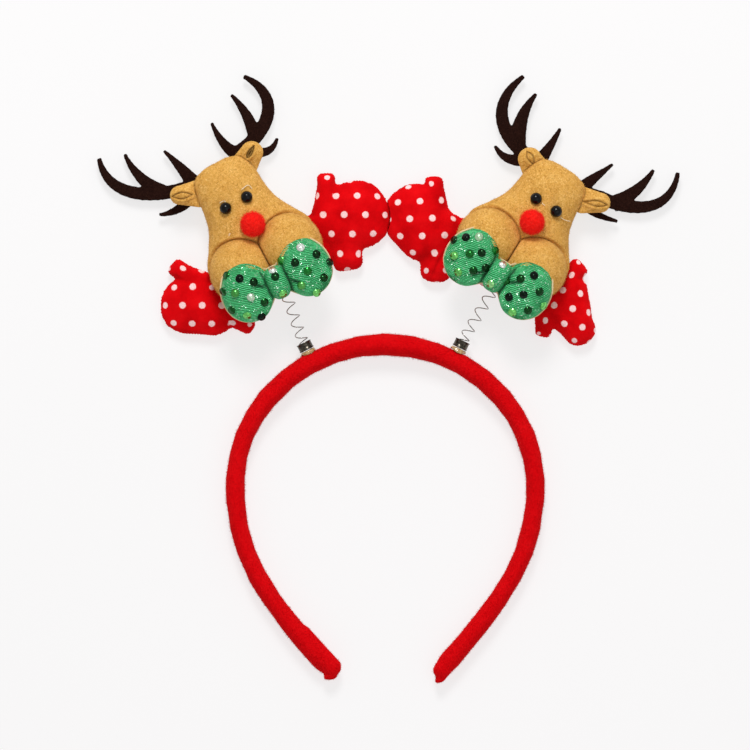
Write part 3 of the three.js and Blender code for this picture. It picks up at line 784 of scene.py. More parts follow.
def make_camera():
    camera = bpy.data.objects.new("camera", bpy.data.cameras.new("camera"))
    scene.collection.objects.link(camera)
    camera.location = Vector((*(HOOP_MIDDLE + VIEW_MIDDLE), VIEW_LEVEL + CAMERA_DISTANCE)) * MM
    camera.data.sensor_width = SENSOR
    camera.data.lens = SENSOR * CAMERA_DISTANCE / VIEW_WIDTH
    camera.data.clip_end = 4 * CAMERA_DISTANCE * MM
    scene.camera = camera


def make_floor():
    corners = [(-1, -1, 0), (1, -1, 0), (1, 1, 0), (-1, 1, 0)]
    floor = new_piece("floor", np.array(corners) * FLOOR_HALF, [(0, 1, 2, 3)])
    paper, nodes, shader, where = material(
        "floor_paper", Roughness=0.8, Specular_IOR_Level=0.1,
        Emission_Color=linear(255, 254, 254), Emission_Strength=TABLE_GLOW,
    )
    grain = nodes.noise(where, 3.0, 2.0)
    nodes.feed(shader, Base_Color=nodes.colours(grain, (0.3, (131, 131, 131)), (0.7, (134, 133, 134))))
    floor.data.materials.append(paper)


def make_light():
    for box in SOFTBOXES:
        light = bpy.data.lights.new(box["name"], "AREA")
        light.size = box["size"] * MM
        light.energy = box["power"]
        lamp = bpy.data.objects.new(box["name"], light)
        lamp.location = np.array(box["at"]) * MM
        lamp.rotation_euler = (-lamp.location).to_track_quat("-Z", "Y").to_euler()
        lamp.visible_camera = False
        scene.collection.objects.link(lamp)
    world = bpy.data.worlds.new("studio")
    world.use_nodes = True
    sky = world.node_tree.nodes["Background"].inputs
    sky["Color"].default_value = (1.0, 0.995, 0.99, 1.0)
    sky["Strength"].default_value = AMBIENT
    scene.world = world
    scene.view_settings.view_transform = "Standard"


make_camera()
make_floor()
make_light()


# The hoop

# What lies on the floor keeps this far above it.
LIES_AT = 0.05
# The felt is eased twice, the second time with its tabs held. Its nap is flattened under the given height,
# where the hoop lies on the floor.
BAND = {"voxel": 0.85, "eased": 3, "eased_again": 11, "lump": 0.22, "fill": 0.9, "nap": 2.4, "length": 0.95,
        "lies_under": 1.5, "seed": 3}
BAND_LUMPS = {"across": 1 / 7.1, "bend": 1.3, "bent": 1 / 9.7, "up": 1 / 6.3}
# At each end the covering swells to a round knob, and is pinched shut in a small tab. All of it is placed
# from the middle of the hoop.
BAND_ENDS = table(
    "from knob rounds tab turn reach",
    ((-34.4, -54.4), (-22.6, -68.4), (3.4, 4.1), (-23.2, -72.5), 6.0, 3.1),
    ((27.5, -65.3), (23.7, -69.8), (3.5, 3.7), (23.2, -73.6), 23.0, 2.8),
)
BAND_END = {"balls": 13, "high": 0.88, "tab_half": 1.5, "tab_high": 2.2, "kept": 3.0}


def solid_of(node):
    """Points and faces of a solid, with its shared points joined."""
    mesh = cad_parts[node].data
    points = np.round(read(mesh.vertices, "co", 3).astype(float) / MM, 4)
    shared, index = np.unique(points, axis=0, return_inverse=True)
    index = index.reshape(-1)
    corners = [index[list(p.vertices)] for p in mesh.polygons]
    return shared, [c for c in corners if len(set(c)) == 3]


def band_end(row, level):
    """Points and faces of one end of the covering: balls that swell to the knob, and the tab."""
    places = HOOP_MIDDLE + np.linspace(row["from"], row["knob"], BAND_END["balls"])
    parts = []
    for place, reach in zip(places, np.linspace(*row["rounds"], BAND_END["balls"])):
        points, faces = ball((reach, reach, BAND_END["high"] * reach))
        parts.append((points + (*place, level), faces))
    points, faces = ball((row["reach"], BAND_END["tab_half"], BAND_END["tab_high"]))
    parts.append((points @ spun(row["turn"]) + (*(HOOP_MIDDLE + row["tab"]), level), faces))
    return merged(*parts)


def make_band():
    low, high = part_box("band")
    level = (low.z + high.z) / 2 / MM
    ends = (band_end(row, level) for row in BAND_ENDS)
    band = new_piece("band_felt", *merged(solid_of("band"), *ends))
    reskin(band, BAND["voxel"])
    ease(band, BAND["eased"])
    points = points_of(band)
    far = [np.linalg.norm(points[:, :2] - HOOP_MIDDLE - row["tab"], axis=1) for row in BAND_ENDS]
    held = 1 - ramp(np.minimum(*far), BAND_END["kept"], 2 * BAND_END["kept"])
    ease(band, BAND["eased_again"], held)
    points = points_of(band)
    points += normals_of(band) * (BAND["lump"] * lumpy(points, **BAND_LUMPS))[:, None]
    points[:, 2] = np.maximum(points[:, 2], LIES_AT)
    move_points(band, points)
    mark(band, "covered", points[:, 2] < BAND["lies_under"])
    finished(band, RED_FELT, ["band"])
    with_nap(band, RED_FELT, BAND["nap"], BAND["length"], BAND["seed"])


make_band()


# The heads

# The stuffed head from chin to crown: half width, and how far the face stands out from its seam.
HEAD_SECTIONS = {
    "along": np.array((-42.5, -41.5, -38.5, -33, -26, -19, -12, -5, 3, 10, 15, 18, 19.5)),
    "half": np.array((5, 10.5, 17, 22.5, 25.2, 24.4, 20.4, 16.7, 14.8, 14.1, 12.8, 10, 5.5)),
    "front": np.array((2, 3.5, 5.5, 8, 9.6, 10.2, 10.4, 10.2, 9.6, 8.4, 6.4, 4, 1.6)),
}
# Stuffing swells the head by at most the given length. Its back is held flat, all of it under the first
# height and none over the second.
HEAD = {"voxel": 1.0, "seam": 4.5, "back_share": 0.62, "along": 80, "around": 72, "lowest": 0.1, "eased": 5,
        "pressure": 3.0, "swell": 0.6, "held": (0.3, 1.2), "eased_again": 3, "fill": 0.8, "seed": 11}
HEAD_SEAM = {"half": 0.7, "deep": 0.35, "steep": (0.5, 0.9)}
EYE = {"beside": 5.0, "dent": 0.9, "reach": 3.4}
# The cheeks start smaller than they end, and each keeps its own side of the cleft.
CHEEK = {"u": 11.0, "v": -26.6, "w": 9.0, "semi": (14.3, 14.6, 14.0), "smaller": 0.3, "voxel": 0.9,
         "pressure": 2.5, "swell": 0.6, "cleft": 0.9, "apart": 0.12, "dent": 2.4, "proud": 0.3,
         "past_seam": 0.5, "eased": 3, "fill": 0.9, "seed": 12}
# How wide the crease is where a cheek or an ear sits in the head.
CREASE = 1.0
FLEECE_NAP = {"per_mm2": 2.6, "length": 0.75}

# The ears, drawn for the right side of the face as the solids are. A thin line marks where each is folded: it
# runs between two shares of the ear's length, beside its middle by the offset, and opens to an almond that is
# widest early where skew is under 1 and late where it is over 1. A hollow over 1 is a slit, and dark says how
# much shade is painted into its line and hollow.
EARS = table(
    "head side root tip halves fold offset open skew hollow dark",
    ("left", "outer", (12.5, 11.2), (19.6, 14.2), (5.8, 4.0), (0.21, 0.91), -0.4, 1.35, 1.0, 0.3, 0.5),
    ("left", "inner", (11.0, 13.0), (15.6, 15.8), (5.6, 4.8), (0.25, 0.8), 0.5, 0.85, 0.74, 2.0, 1.0),
    ("right", "inner", (10.6, 10.8), (14.6, 13.0), (5.8, 5.0), (0.1, 0.8), 0.4, 1.25, 1.45, 0.4, 0.55),
    ("right", "outer", (13.4, 10.2), (20.2, 13.2), (5.6, 4.2), (0.05, 0.88), -0.7, 1.15, 1.2, 0.4, 0.5),
)
EAR = {"seam": 5.6, "front": 3.4, "back": 2.8, "lip": 0.5, "lip_at": 1.0, "lip_half": 0.7, "line": 0.32,
       "deep": 0.7, "dent": 2.0, "rings": 90, "around": 112, "root_end": 0.98, "tip_end": 0.985, "fill": 0.5,
       "seed": 5}
# An ear is sewn down flat at its root: the share of its thickness there, and where it reaches all of it.
EAR_RISE = {"least": 0.2, "from": -0.5, "to": 5.5}
# How much shade is painted into a fold's hollow and at the foot of an ear, where it sits in the head, and how
# wide it is at the foot.
EAR_SHADE = {"hollow": 0.15, "foot": 0.35, "foot_half": 0.6}


def ears_of(axes):
    return [row for row in EARS if row["head"] == axes.name]


def head_section(column, axes, v):
    """A head's half width or front at a place from chin to crown."""
    return through(HEAD_SECTIONS["along"], HEAD_SECTIONS[column], v / axes.length)


def face_height(axes, local):
    """How high the face stands, before anything presses into it."""
    share = np.clip(local[:, 0] / head_section("half", axes, local[:, 1]), -1, 1)
    return HEAD["seam"] + head_section("front", axes, local[:, 1]) * np.sqrt(1 - share**2)


def cheek_depth(axes, local):
    """How far each place lies inside a cheek, before it is stuffed."""
    semi = np.array(CHEEK["semi"]) * (1, axes.length, 1)
    deepest = np.full(len(local), -np.inf)
    for side in (-1, 1):
        middle = (side * CHEEK["u"], CHEEK["v"] * axes.length, CHEEK["w"])
        far = np.linalg.norm((local - middle) / semi, axis=1)
        deepest = np.maximum(deepest, (1 - far) * semi[2])
    return np.where(local[:, 2] > HEAD["seam"] - CHEEK["past_seam"], deepest, -np.inf)


def ear_line(axes, row):
    """An ear's root, its way to the tip and across, and its length, in the head's frame."""
    sign = axes.sign(row["side"])
    root, tip = (np.array((sign * u, v)) for u, v in (row["root"], row["tip"]))
    along = unit(tip - root)
    return root, along, np.array((-along[1], along[0])) * sign, np.linalg.norm(tip - root)


def ear_rise(s):
    """How much of its full thickness an ear has at a distance from its root."""
    return EAR_RISE["least"] + (1 - EAR_RISE["least"]) * ramp(s, EAR_RISE["from"], EAR_RISE["to"])


def ear_depth(axes, row, local):
    """How far each place lies inside an ear."""
    root, along, across, span = ear_line(axes, row)
    s, t = (local[:, :2] - root) @ along, (local[:, :2] - root) @ across
    share = np.clip(s / span, 0, 1)
    half = row["halves"][0] + (row["halves"][1] - row["halves"][0]) * share
    rise = local[:, 2] - EAR["seam"]
    thick = np.where(rise > 0, EAR["front"] * ear_rise(s), EAR["back"])
    far = np.sqrt(((s - share * span) ** 2 + t**2) / half**2 + (rise / thick) ** 2)
    return (1 - far) * EAR["front"]


def make_head(axes):
    places = np.linspace(HEAD_SECTIONS["along"][0], HEAD_SECTIONS["along"][-1], HEAD["along"]) * axes.length
    halves, fronts = (head_section(column, axes, places) for column in ("half", "front"))
    across, out = circle(HEAD["around"]).T
    rings = []
    for v, wide, front in zip(places, halves, fronts):
        rise = np.where(out > 0, front, HEAD["back_share"] * front) * out
        height = np.maximum(HEAD["seam"] + rise, HEAD["lowest"])
        ring = np.stack([wide * across, np.full_like(out, v), height], axis=1)
        rings.append(ring[::-1])
    points, faces = loft(rings)
    head = new_piece(f"{axes.name}_head_fleece", axes.place(points), faces)
    reskin(head, HEAD["voxel"])
    ease(head, HEAD["eased"])
    back = 1 - ramp(axes.local(points_of(head))[:, 2], *HEAD["held"])
    stuff(head, HEAD["pressure"], HEAD["swell"], back)
    ease(head, HEAD["eased_again"])
    refine(head)

    local = axes.local(points_of(head))
    normals = normals_of(head) @ axes.turn.T
    for side in (-1, 1):
        far = np.hypot(local[:, 0] - axes.eye_shift - side * EYE["beside"], local[:, 1])
        local[:, 2] -= EYE["dent"] * bell(far, EYE["reach"]) * (local[:, 2] > HEAD["seam"])
    steep = ramp(np.hypot(normals[:, 0], normals[:, 1]), *HEAD_SEAM["steep"])
    seam = bell(local[:, 2] - HEAD["seam"], HEAD_SEAM["half"]) * steep
    under_cheek = ramp(cheek_depth(axes, local), -CREASE, 0.0)
    dent = np.maximum(HEAD_SEAM["deep"] * seam, CHEEK["dent"] * under_cheek)
    covered = under_cheek
    for row in ears_of(axes):
        under_ear = ramp(ear_depth(axes, row, local), -CREASE, 0.0)
        dent = np.maximum(dent, EAR["dent"] * under_ear)
        covered = np.maximum(covered, under_ear)
    move_points(head, axes.place(local - normals * dent[:, None]))
    mark(head, "covered", covered)
    return head


def make_cheek(axes, side):
    """Points and faces of one stuffed cheek, in the head's frame."""
    points, faces = ball(np.array(CHEEK["semi"]) * (1.0, axes.length, 1.0) - CHEEK["smaller"])
    points += np.array((side * CHEEK["u"], CHEEK["v"] * axes.length, CHEEK["w"]))
    cheek = new_piece("cheek", points, faces)
    reskin(cheek, CHEEK["voxel"])
    stuff(cheek, CHEEK["pressure"], CHEEK["swell"])
    local = points_of(cheek)
    beside = side * local[:, 0]
    room = CHEEK["cleft"] - CHEEK["apart"]
    pressed = CHEEK["apart"] + room * np.exp((beside - CHEEK["cleft"]) / room)
    local[:, 0] = side * np.where(beside < CHEEK["cleft"], pressed, beside)
    seat = face_height(axes, local) - CHEEK["dent"] + CHEEK["proud"]
    local[:, 2] = np.maximum(local[:, 2], np.maximum(seat, HEAD["seam"] + CHEEK["past_seam"]))
    move_points(cheek, local)
    ease(cheek, CHEEK["eased"])
    skin = points_of(cheek), [list(p.vertices) for p in cheek.data.polygons]
    bpy.data.objects.remove(cheek)
    return skin


def make_muzzle(axes, head):
    """Two stuffed cheeks that press on each other and sit in the face."""
    points, faces = merged(*(make_cheek(axes, side) for side in (-1, 1)))
    muzzle = new_piece(f"{axes.name}_muzzle_fleece", axes.place(points), faces)
    refine(muzzle)
    clear_of(muzzle, tree_of(head), reach=4.0)
    local = axes.local(points_of(muzzle))
    mark(muzzle, "covered", local[:, 2] < face_height(axes, local) - CHEEK["past_seam"])
    return muzzle


def make_ear(axes, row, head):
    root, along, across, span = ear_line(axes, row)
    root_half, tip_half = row["halves"]
    places = np.linspace(-EAR["root_end"] * root_half, span + EAR["tip_end"] * tip_half, EAR["rings"])
    s = np.repeat(places, EAR["around"])
    aside, rise = np.tile(circle(EAR["around"]), (EAR["rings"], 1)).T
    beyond = np.maximum(-s / root_half, 0) + np.maximum((s - span) / tip_half, 0)
    half = root_half + (tip_half - root_half) * np.clip(s / span, 0, 1)
    half *= np.sqrt(1 - beyond**2)
    t = half * aside
    thick = np.where(rise > 0, EAR["front"] * ear_rise(s), EAR["back"]) * np.sqrt(1 - beyond**2)

    start, end = (share * (span + tip_half) for share in row["fold"])
    share = np.clip((s - start) / (end - start), 0, 1)
    inside = row["open"] * np.sin(share ** row["skew"] * math.pi) - np.abs(t - row["offset"])
    past = np.maximum(start - s, 0) + np.maximum(s - end, 0)
    groove = np.hypot(inside, past)
    front = ramp(rise, 0.05, 0.4)
    line = front * bell(groove, EAR["line"])
    hollow = front * ramp(inside, 0.0, 0.8) * (past == 0)
    w = EAR["seam"] + thick * rise + front * EAR["lip"] * bell(groove - EAR["lip_at"], EAR["lip_half"])
    w -= EAR["deep"] * line + row["hollow"] * hollow
    local = np.column_stack([root + np.outer(s, along) + np.outer(t, across), w])
    name = f"{axes.name}_ear_{row['side']}"
    points, faces = loft(axes.place(local).reshape(EAR["rings"], EAR["around"], 3))
    if axes.sign(row["side"]) > 0:
        faces = [f[::-1] for f in faces]
    ear = new_piece(f"{name}_fleece", points, faces)
    clear_of(ear, tree_of(head), reach=6.0)
    slit = row["hollow"] > 1
    # Painted shade in the fold's line and hollow, all of the hollow in a slit, and at the ear's foot.
    shade = row["dark"] * np.maximum(line, hollow if slit else EAR_SHADE["hollow"] * hollow)
    foot = front * bell(w - face_height(axes, local), EAR_SHADE["foot_half"])
    shade = np.maximum(shade, EAR_SHADE["foot"] * foot)
    mark(ear, "shade", np.append(shade, (0, 0)))
    mark(ear, "covered", np.append(np.maximum(line, hollow if slit else 0), (0, 0)))
    finished(ear, FLEECE, [name])
    with_nap(ear, FLEECE, FLEECE_NAP["per_mm2"], FLEECE_NAP["length"], EAR["seed"])


# The antlers as they were cut by hand, drawn for the right side of the face. Each tine follows a curve from
# its root to its tip. Its width goes from the first to the last value, later where the third is larger. Tines
# are made a little wider and longer than this, because softening the edges takes that off again.
TINE_COLUMNS = "root lean bend tip wide"
TINES = {
    "left_outer": table(
        TINE_COLUMNS,
        ((18.5, 16.5), (33.5, 20), (47, 29), (42.5, 43.5), (5.1, 1.3, 3)),
        ((24.5, 18), (30.5, 25), (32.5, 32.5), (32, 40), (6, 0.8, 1.3)),
        ((12, 16), (13, 21.5), (14.5, 27.5), (16.5, 33.5), (6.2, 0.7, 1.1)),
        ((16, 11.5), (21, 9), (26, 9), (30.5, 11), (4.6, 0.8, 1.2)),
    ),
    "left_inner": table(
        TINE_COLUMNS,
        ((11, 19), (24, 20), (39.5, 29.5), (28, 45.5), (5.3, 1.3, 4)),
        ((19.5, 20), (21.5, 27.5), (21.5, 34), (19.5, 41), (5.2, 0.8, 1.7)),
        ((9.5, 19), (6.5, 23), (6, 29.5), (6.5, 34.5), (5.2, 0.7, 1)),
        ((17, 15.5), (20, 13), (24.5, 12.5), (27.5, 16), (3.8, 0.8, 1.5)),
    ),
    "right_inner": table(
        TINE_COLUMNS,
        ((14.5, 14), (26.5, 14), (42.7, 21.5), (35.5, 41), (5.4, 1.3, 3.5)),
        ((21.5, 14.5), (26.5, 22.5), (28, 29.5), (27, 37.5), (6.7, 0.9, 1.6)),
        ((10.5, 14.5), (10.5, 20), (10, 25), (10.5, 30.5), (5.4, 0.8, 1.1)),
        ((16, 12), (19.5, 9), (24.5, 7), (29.5, 10), (4.6, 0.9, 1.6)),
    ),
    "right_outer": table(
        TINE_COLUMNS,
        ((20, 15.5), (34.5, 17.5), (48, 25.5), (41.5, 41), (5.2, 1.3, 2)),
        ((25, 15.8), (30, 22.5), (32, 29.5), (32, 36.5), (6.4, 0.9, 1.3)),
        ((10.5, 14), (11.5, 19), (14, 24), (16, 29.5), (5.6, 0.7, 1.1)),
        ((14, 9.5), (19, 7.5), (25.5, 9), (30, 10.5), (3.6, 0.8, 1.3)),
    ),
}
# A stem behind the head and the ear carries the beam.
STEM = {"root": (5.0, 11.0), "wide": (6.0, 5.4, 1)}
ANTLER = {"middle": -1.3, "thick": 1.9, "steps": 48, "around": 24, "square": 5.0, "voxel": 0.4, "eased": 5,
          "wider": 0.45, "longer": 0.6, "ripple": 0.07, "nap": 0.8, "length": 0.45, "seed": 9}
ANTLER_RIPPLES = {"across": 1.9, "bend": 1.0, "bent": 1.3, "up": 2.3}


def tine(row, sign):
    """Points and faces of one flat tine, in the head's frame."""
    root, lean, bend, tip = (np.array(row[key], float) * (sign, 1) for key in ("root", "lean", "bend", "tip"))
    line = cubic(root, lean, bend, tip + ANTLER["longer"] * unit(tip - bend), ANTLER["steps"])
    along = unit(np.gradient(line, axis=0))
    across = np.stack([-along[:, 1], along[:, 0]], axis=1)
    first, last, late = row["wide"]
    share = np.linspace(0, 1, ANTLER["steps"])
    half = (last + (first - last) * (1 - share**late) + ANTLER["wider"]) / 2
    section = squared(circle(ANTLER["around"]), ANTLER["square"])
    rings = []
    for place, way, reach in zip(line, across, half):
        flat = place + np.outer(section[:, 0] * reach, way)
        rings.append(np.column_stack([flat, ANTLER["middle"] + section[:, 1] * ANTLER["thick"] / 2]))
    return loft(rings)


def make_antler(axes, side):
    """Tines cut from thick felt in one piece, with edges that have softened."""
    sign = axes.sign(side)
    rows = TINES[f"{axes.name}_{side}"]
    beam = rows[0]["root"]
    stem = {"root": STEM["root"], "lean": STEM["root"], "bend": beam, "tip": beam, "wide": STEM["wide"]}
    points, faces = merged(*(tine(row, sign) for row in (stem, *rows)))
    name = f"{axes.name}_antler_{side}"
    antler = new_piece(f"{name}_felt", axes.place(points), faces)
    reskin(antler, ANTLER["voxel"])
    ease(antler, ANTLER["eased"])
    points = points_of(antler)
    points += normals_of(antler) * (ANTLER["ripple"] * lumpy(points, **ANTLER_RIPPLES))[:, None]
    move_points(antler, points)
    finished(antler, BROWN_FELT, [name])
    with_nap(antler, BROWN_FELT, ANTLER["nap"], ANTLER["length"], ANTLER["seed"])


BEAD_SIZE = {"diameter": 5.0, "hole": 0.16, "flat": 0.12, "sides": 40, "rings": 28}


def make_eye(name):
    """A round bead, a little flattened at the hole through its sides."""
    points, faces = ball((1, 1, 1), BEAD_SIZE["sides"], BEAD_SIZE["rings"])
    dimple = bell(np.hypot(points[:, 0], points[:, 1]), BEAD_SIZE["hole"])
    points *= (1 - BEAD_SIZE["flat"] * dimple)[:, None]
    points = points[:, [2, 0, 1]] * BEAD_SIZE["diameter"] / 2
    bead = new_piece(f"{name}_bead", points + np.array(middle_of(name)), faces)
    finished(bead, BEAD, [name])


# From here, above everything, rays look down to find the skin under a place.
LOOKOUT = 60.0
DOWN = Vector((0, 0, -1))

# Strings of glue that were left on the faces: start, middle and end of each, in the head's frame.
GLUE_STRINGS = {
    "left": (
        ((4.2, 3.6), (8.2, 4.6), (8.6, 2.1)),
        ((-6.2, 3.1), (-3.6, 3.2), (-4.2, 0.5)),
        ((-9.2, -11.0), (-8.6, -10.0), (-8.2, -10.6)),
    ),
    "right": (
        ((9.2, -1.2), (11.6, -1.2), (13.6, -0.2)),
        ((-0.6, -0.1), (0.2, -0.6), (1.0, -0.4)),
    ),
}
GLUE_STRING = {"thick": 0.26, "proud": 0.6, "steps": 30, "sides": 8}


def make_glue_strings(axes, head):
    tree = tree_of(head)
    tubes = []
    for start, middle, end in np.array(GLUE_STRINGS[axes.name], float):
        flat = cubic(start, middle, middle, end, GLUE_STRING["steps"])
        above = axes.place(np.column_stack([flat, np.full(len(flat), LOOKOUT)]))
        spots = np.array([tree.ray_cast(Vector(place), DOWN)[0] for place in above])
        path = spots + (0, 0, GLUE_STRING["proud"])
        tubes.append(swept(path, GLUE_STRING["thick"] / 2, GLUE_STRING["sides"]))
    strings = new_piece(f"{axes.name}_glue_strings", *merged(*tubes))
    finished(strings, GLUE_THREAD)


NOSE = {"core": 9.1, "outer": 11.4, "sides": 56, "rings": 40, "tuft": 0.45, "gap": 0.4, "per_mm2": 16.0,
        "length": 1.5, "lean": 0.75, "seed": 7}


def make_nose(axes, head, muzzle):
    """A felted ball of yarn ends round a core."""
    name = f"{axes.name}_nose"
    low, high = (np.array(corner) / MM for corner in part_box(name))
    middle = (low + high) / 2
    middle[2] = high[2] - NOSE["outer"] / 2
    points, faces = ball((1, 1, 1), NOSE["sides"], NOSE["rings"])
    x, y, z = points.T
    tufts = np.sin(x * 9 + 2 * np.sin(y * 7)) * np.sin(y * 8 + z * 6)
    points *= (NOSE["core"] / 2 + NOSE["tuft"] * tufts)[:, None]
    core = new_piece(f"{name}_core", points + middle, faces)
    for other in (head, muzzle):
        clear_of(core, tree_of(other), gap=NOSE["gap"], reach=5.0)
    finished(core, POMPOM_YARN, [name])
    with_nap(core, POMPOM_YARN, NOSE["per_mm2"], NOSE["length"], NOSE["seed"], NOSE["lean"])


# The bows

# Fold says which way the crease in each lobe runs, and ribs how the knit is turned against the bow.
BOWS = {
    "left": {"at": (-0.4, -37.0, 17.6), "turn": -4.0, "fold": -1, "ribs": -13.0},
    "right": {"at": (-0.4, -35.6, 17.6), "turn": 0.0, "fold": 1, "ribs": 16.0},
}
# The bow from its knot outwards: half its height and half its depth.
BOW_SECTIONS = {
    "along": np.array((0, 3, 4.2, 4.8, 5.4, 6.2, 8, 10.5, 13, 16, 19, 21.5, 23.2, 24)),
    "half": np.array((6.2, 6.2, 6.3, 6.9, 8.0, 9.0, 10.6, 11.8, 12.1, 11.8, 10.4, 8.0, 5.0, 1.5)),
    "deep": np.array((3.0, 3.0, 3.0, 3.5, 4.5, 5.2, 5.8, 6.1, 6.1, 5.8, 5.0, 3.9, 2.4, 0.8)),
}
# The knot's wrap holds the bow while it is stuffed, less and less between two distances from its middle.
BOW = {"lean": 18.0, "rings": 120, "around": 56, "square": 2.8, "voxel": 0.8, "pressure": 3.0, "swell": 0.8,
       "held": (4.0, 7.0), "eased": 2, "front": (0.0, 2.0), "fill": 0.7}
# Ribs stand up from the knit. How far across a rib lies counts a share of the bow's fall too, most of it
# further from the middle line than the brow.
RIBS = {"high": 0.09, "over": 0.8, "brow": 6.0}
# Gathers fan out from the knot, and are deepest at the given distance from its middle.
GATHERS = {"from": 2.0, "many": 11.0, "shift": 0.6, "at": 6.5, "wide": 3.5, "deep": 0.25}
# The crease in a lobe starts beside the knot and slants outwards, and shade is painted into it.
FOLD = {"from": 5.4, "to": 10.5, "beside": 0.9, "slant": 0.78, "wide": 0.8, "deep": 1.1, "shade": 0.75}
KNOT = {"rise": 2.4, "semi": (4.4, 7.2, 4.6), "square": 3.0, "sides": 96, "rings": 64, "fill": 0.7}
# How much shade is painted on the bow beside its knot, how far from the knot that is, and how wide.
BESIDE_KNOT = {"shade": 0.8, "off": 0.3, "wide": 0.55}
SEQUIN = {"diameter": 3.5, "thickness": 0.12, "proud": 0.12, "tilt": 0.06, "upright": 0.2,
          "most": 0.6, "around": 8}


class BowAxes:
    """A sequinned bow's own frame: p along it, q across it and n out of it, in the head's frame."""

    def __init__(self, head_axes):
        facts = BOWS[head_axes.name]
        lean = math.radians(BOW["lean"])
        c, s = math.cos(lean), math.sin(lean)
        self.turn = spun(facts["turn"]) @ np.array([[1, 0, 0], [0, c, s], [0, -s, c]])
        self.fold = facts["fold"]
        self.ribs = math.radians(facts["ribs"])
        self.at = np.array(facts["at"])
        self.head = head_axes

    def place(self, points):
        return self.head.place(np.asarray(points) @ self.turn + self.at)

    def local(self, places):
        return (self.head.local(places) - self.at) @ self.turn.T


def rib_lengths(bow_axes, local):
    """How far each point lies across the ribs from the bow's middle, measured over its swell."""
    across = local[:, 1] * math.cos(bow_axes.ribs) - local[:, 0] * math.sin(bow_axes.ribs)
    fall = local[:, 2].max() - local[:, 2]
    return across + RIBS["over"] * np.tanh(local[:, 1] / RIBS["brow"]) * fall


def lobe_crease(bow_axes, local):
    """How deep each point of a bow lies in the crease of its lobe, from 0 to 1."""
    out = np.abs(local[:, 0])
    middle = bow_axes.fold * np.sign(local[:, 0]) * (FOLD["beside"] + FOLD["slant"] * (out - FOLD["from"]))
    aside = (local[:, 1] - middle) / math.hypot(1, FOLD["slant"])
    ends = ramp(out, FOLD["from"] - 1.2, FOLD["from"] + 0.6) * (1 - ramp(out, FOLD["to"] - 3, FOLD["to"]))
    return ramp(local[:, 2], *BOW["front"]) * ends * bell(aside, FOLD["wide"])


def make_sequin_bow(axes, head, muzzle):
    bow_axes = BowAxes(axes)
    along = BOW_SECTIONS["along"]
    places = np.linspace(-along[-1], along[-1], BOW["rings"])
    halves, depths = (through(along, BOW_SECTIONS[column], np.abs(places)) for column in ("half", "deep"))
    section = squared(circle(BOW["around"]), BOW["square"])
    rings = []
    for p, high, out in zip(places, halves, depths):
        rings.append(np.column_stack([np.full(len(section), p), section * (high, out)]))
    points, faces = loft(rings)
    bow = new_piece(f"{axes.name}_sequin_bow_knit", bow_axes.place(points), faces)
    reskin(bow, BOW["voxel"])
    out = np.abs(bow_axes.local(points_of(bow))[:, 0])
    stuff(bow, BOW["pressure"], BOW["swell"], 1 - ramp(out, *BOW["held"]))
    ease(bow, BOW["eased"])
    for other in (head, muzzle):
        clear_of(bow, tree_of(other), reach=9.0)
    refine(bow, 2)

    local = bow_axes.local(points_of(bow))
    out = np.abs(local[:, 0])
    front = ramp(local[:, 2], *BOW["front"])
    fan = np.arctan2(local[:, 1], out + GATHERS["from"])
    gathers = np.cos(fan * GATHERS["many"] + GATHERS["shift"]) * bell(out - GATHERS["at"], GATHERS["wide"])
    crease = lobe_crease(bow_axes, local)
    ribs = rib_lengths(bow_axes, local)
    relief = RIBS["high"] * np.sin(ribs * 2 * math.pi / RIB_PITCH)
    depth = GATHERS["deep"] * front * gathers - FOLD["deep"] * crease + relief * front
    move_points(bow, points_of(bow) + normals_of(bow) * depth[:, None])
    # Shade is painted beside the knot and in the lobes' creases.
    beside = front * bell(out - KNOT["semi"][0] - BESIDE_KNOT["off"], BESIDE_KNOT["wide"])
    beside *= np.abs(local[:, 1]) < KNOT["semi"][1]
    mark(bow, "rib", ribs)
    mark(bow, "shade", np.maximum(FOLD["shade"] * crease, BESIDE_KNOT["shade"] * beside))
    finished(bow, KNIT, [f"{axes.name}_sequin_bow"])

    knot = make_knot(axes, bow_axes, (bow, 8.0), (head, 6.0), (muzzle, 6.0))
    make_rim(axes, bow_axes, bow)
    make_sequins(axes, bow, knot)


def make_knot(axes, bow_axes, *others):
    """The knit wrapped round a bow's waist. Each other piece that it keeps clear of comes with a reach."""
    points, faces = ball((1, 1, 1), KNOT["sides"], KNOT["rings"])
    points = squared(points, KNOT["square"]) * KNOT["semi"] + (0, 0, KNOT["rise"])
    knot = new_piece(f"{axes.name}_bow_knot_knit", bow_axes.place(points), faces)
    for other, reach in others:
        clear_of(knot, tree_of(other), reach=reach)
    mark(knot, "rib", rib_lengths(bow_axes, bow_axes.local(points_of(knot))))
    return finished(knot, KNIT, [f"{axes.name}_bow_knot"])


# The backing's edge stands out past the bow, under its widest place. Its way round is evened out over some
# steps to both sides.
RIM = {"radius": 0.4, "steps": 200, "sides": 10, "past": 0.16, "under": 0.9, "even_out": 2, "even_up": 4}


def outline_of(local, steps):
    """How far a form reaches each way from its middle, seen from the front, and the height there."""
    angle = np.arctan2(local[:, 1], local[:, 0])
    slot = np.floor((angle + math.pi) / (2 * math.pi) * steps).astype(int) % steps
    far = np.hypot(local[:, 0], local[:, 1])
    order = np.lexsort((far, slot))
    last = np.searchsorted(slot[order], np.arange(steps), side="right") - 1
    picked = order[last]
    return (np.arange(steps) + 0.5) / steps * 2 * math.pi - math.pi, far[picked], local[picked, 2]


def rolled_mean(values, width):
    """Each value of a ring as the mean of those beside it."""
    window = np.ones(2 * width + 1) / (2 * width + 1)
    return np.convolve(np.concatenate([values[-width:], values, values[:width]]), window, "valid")


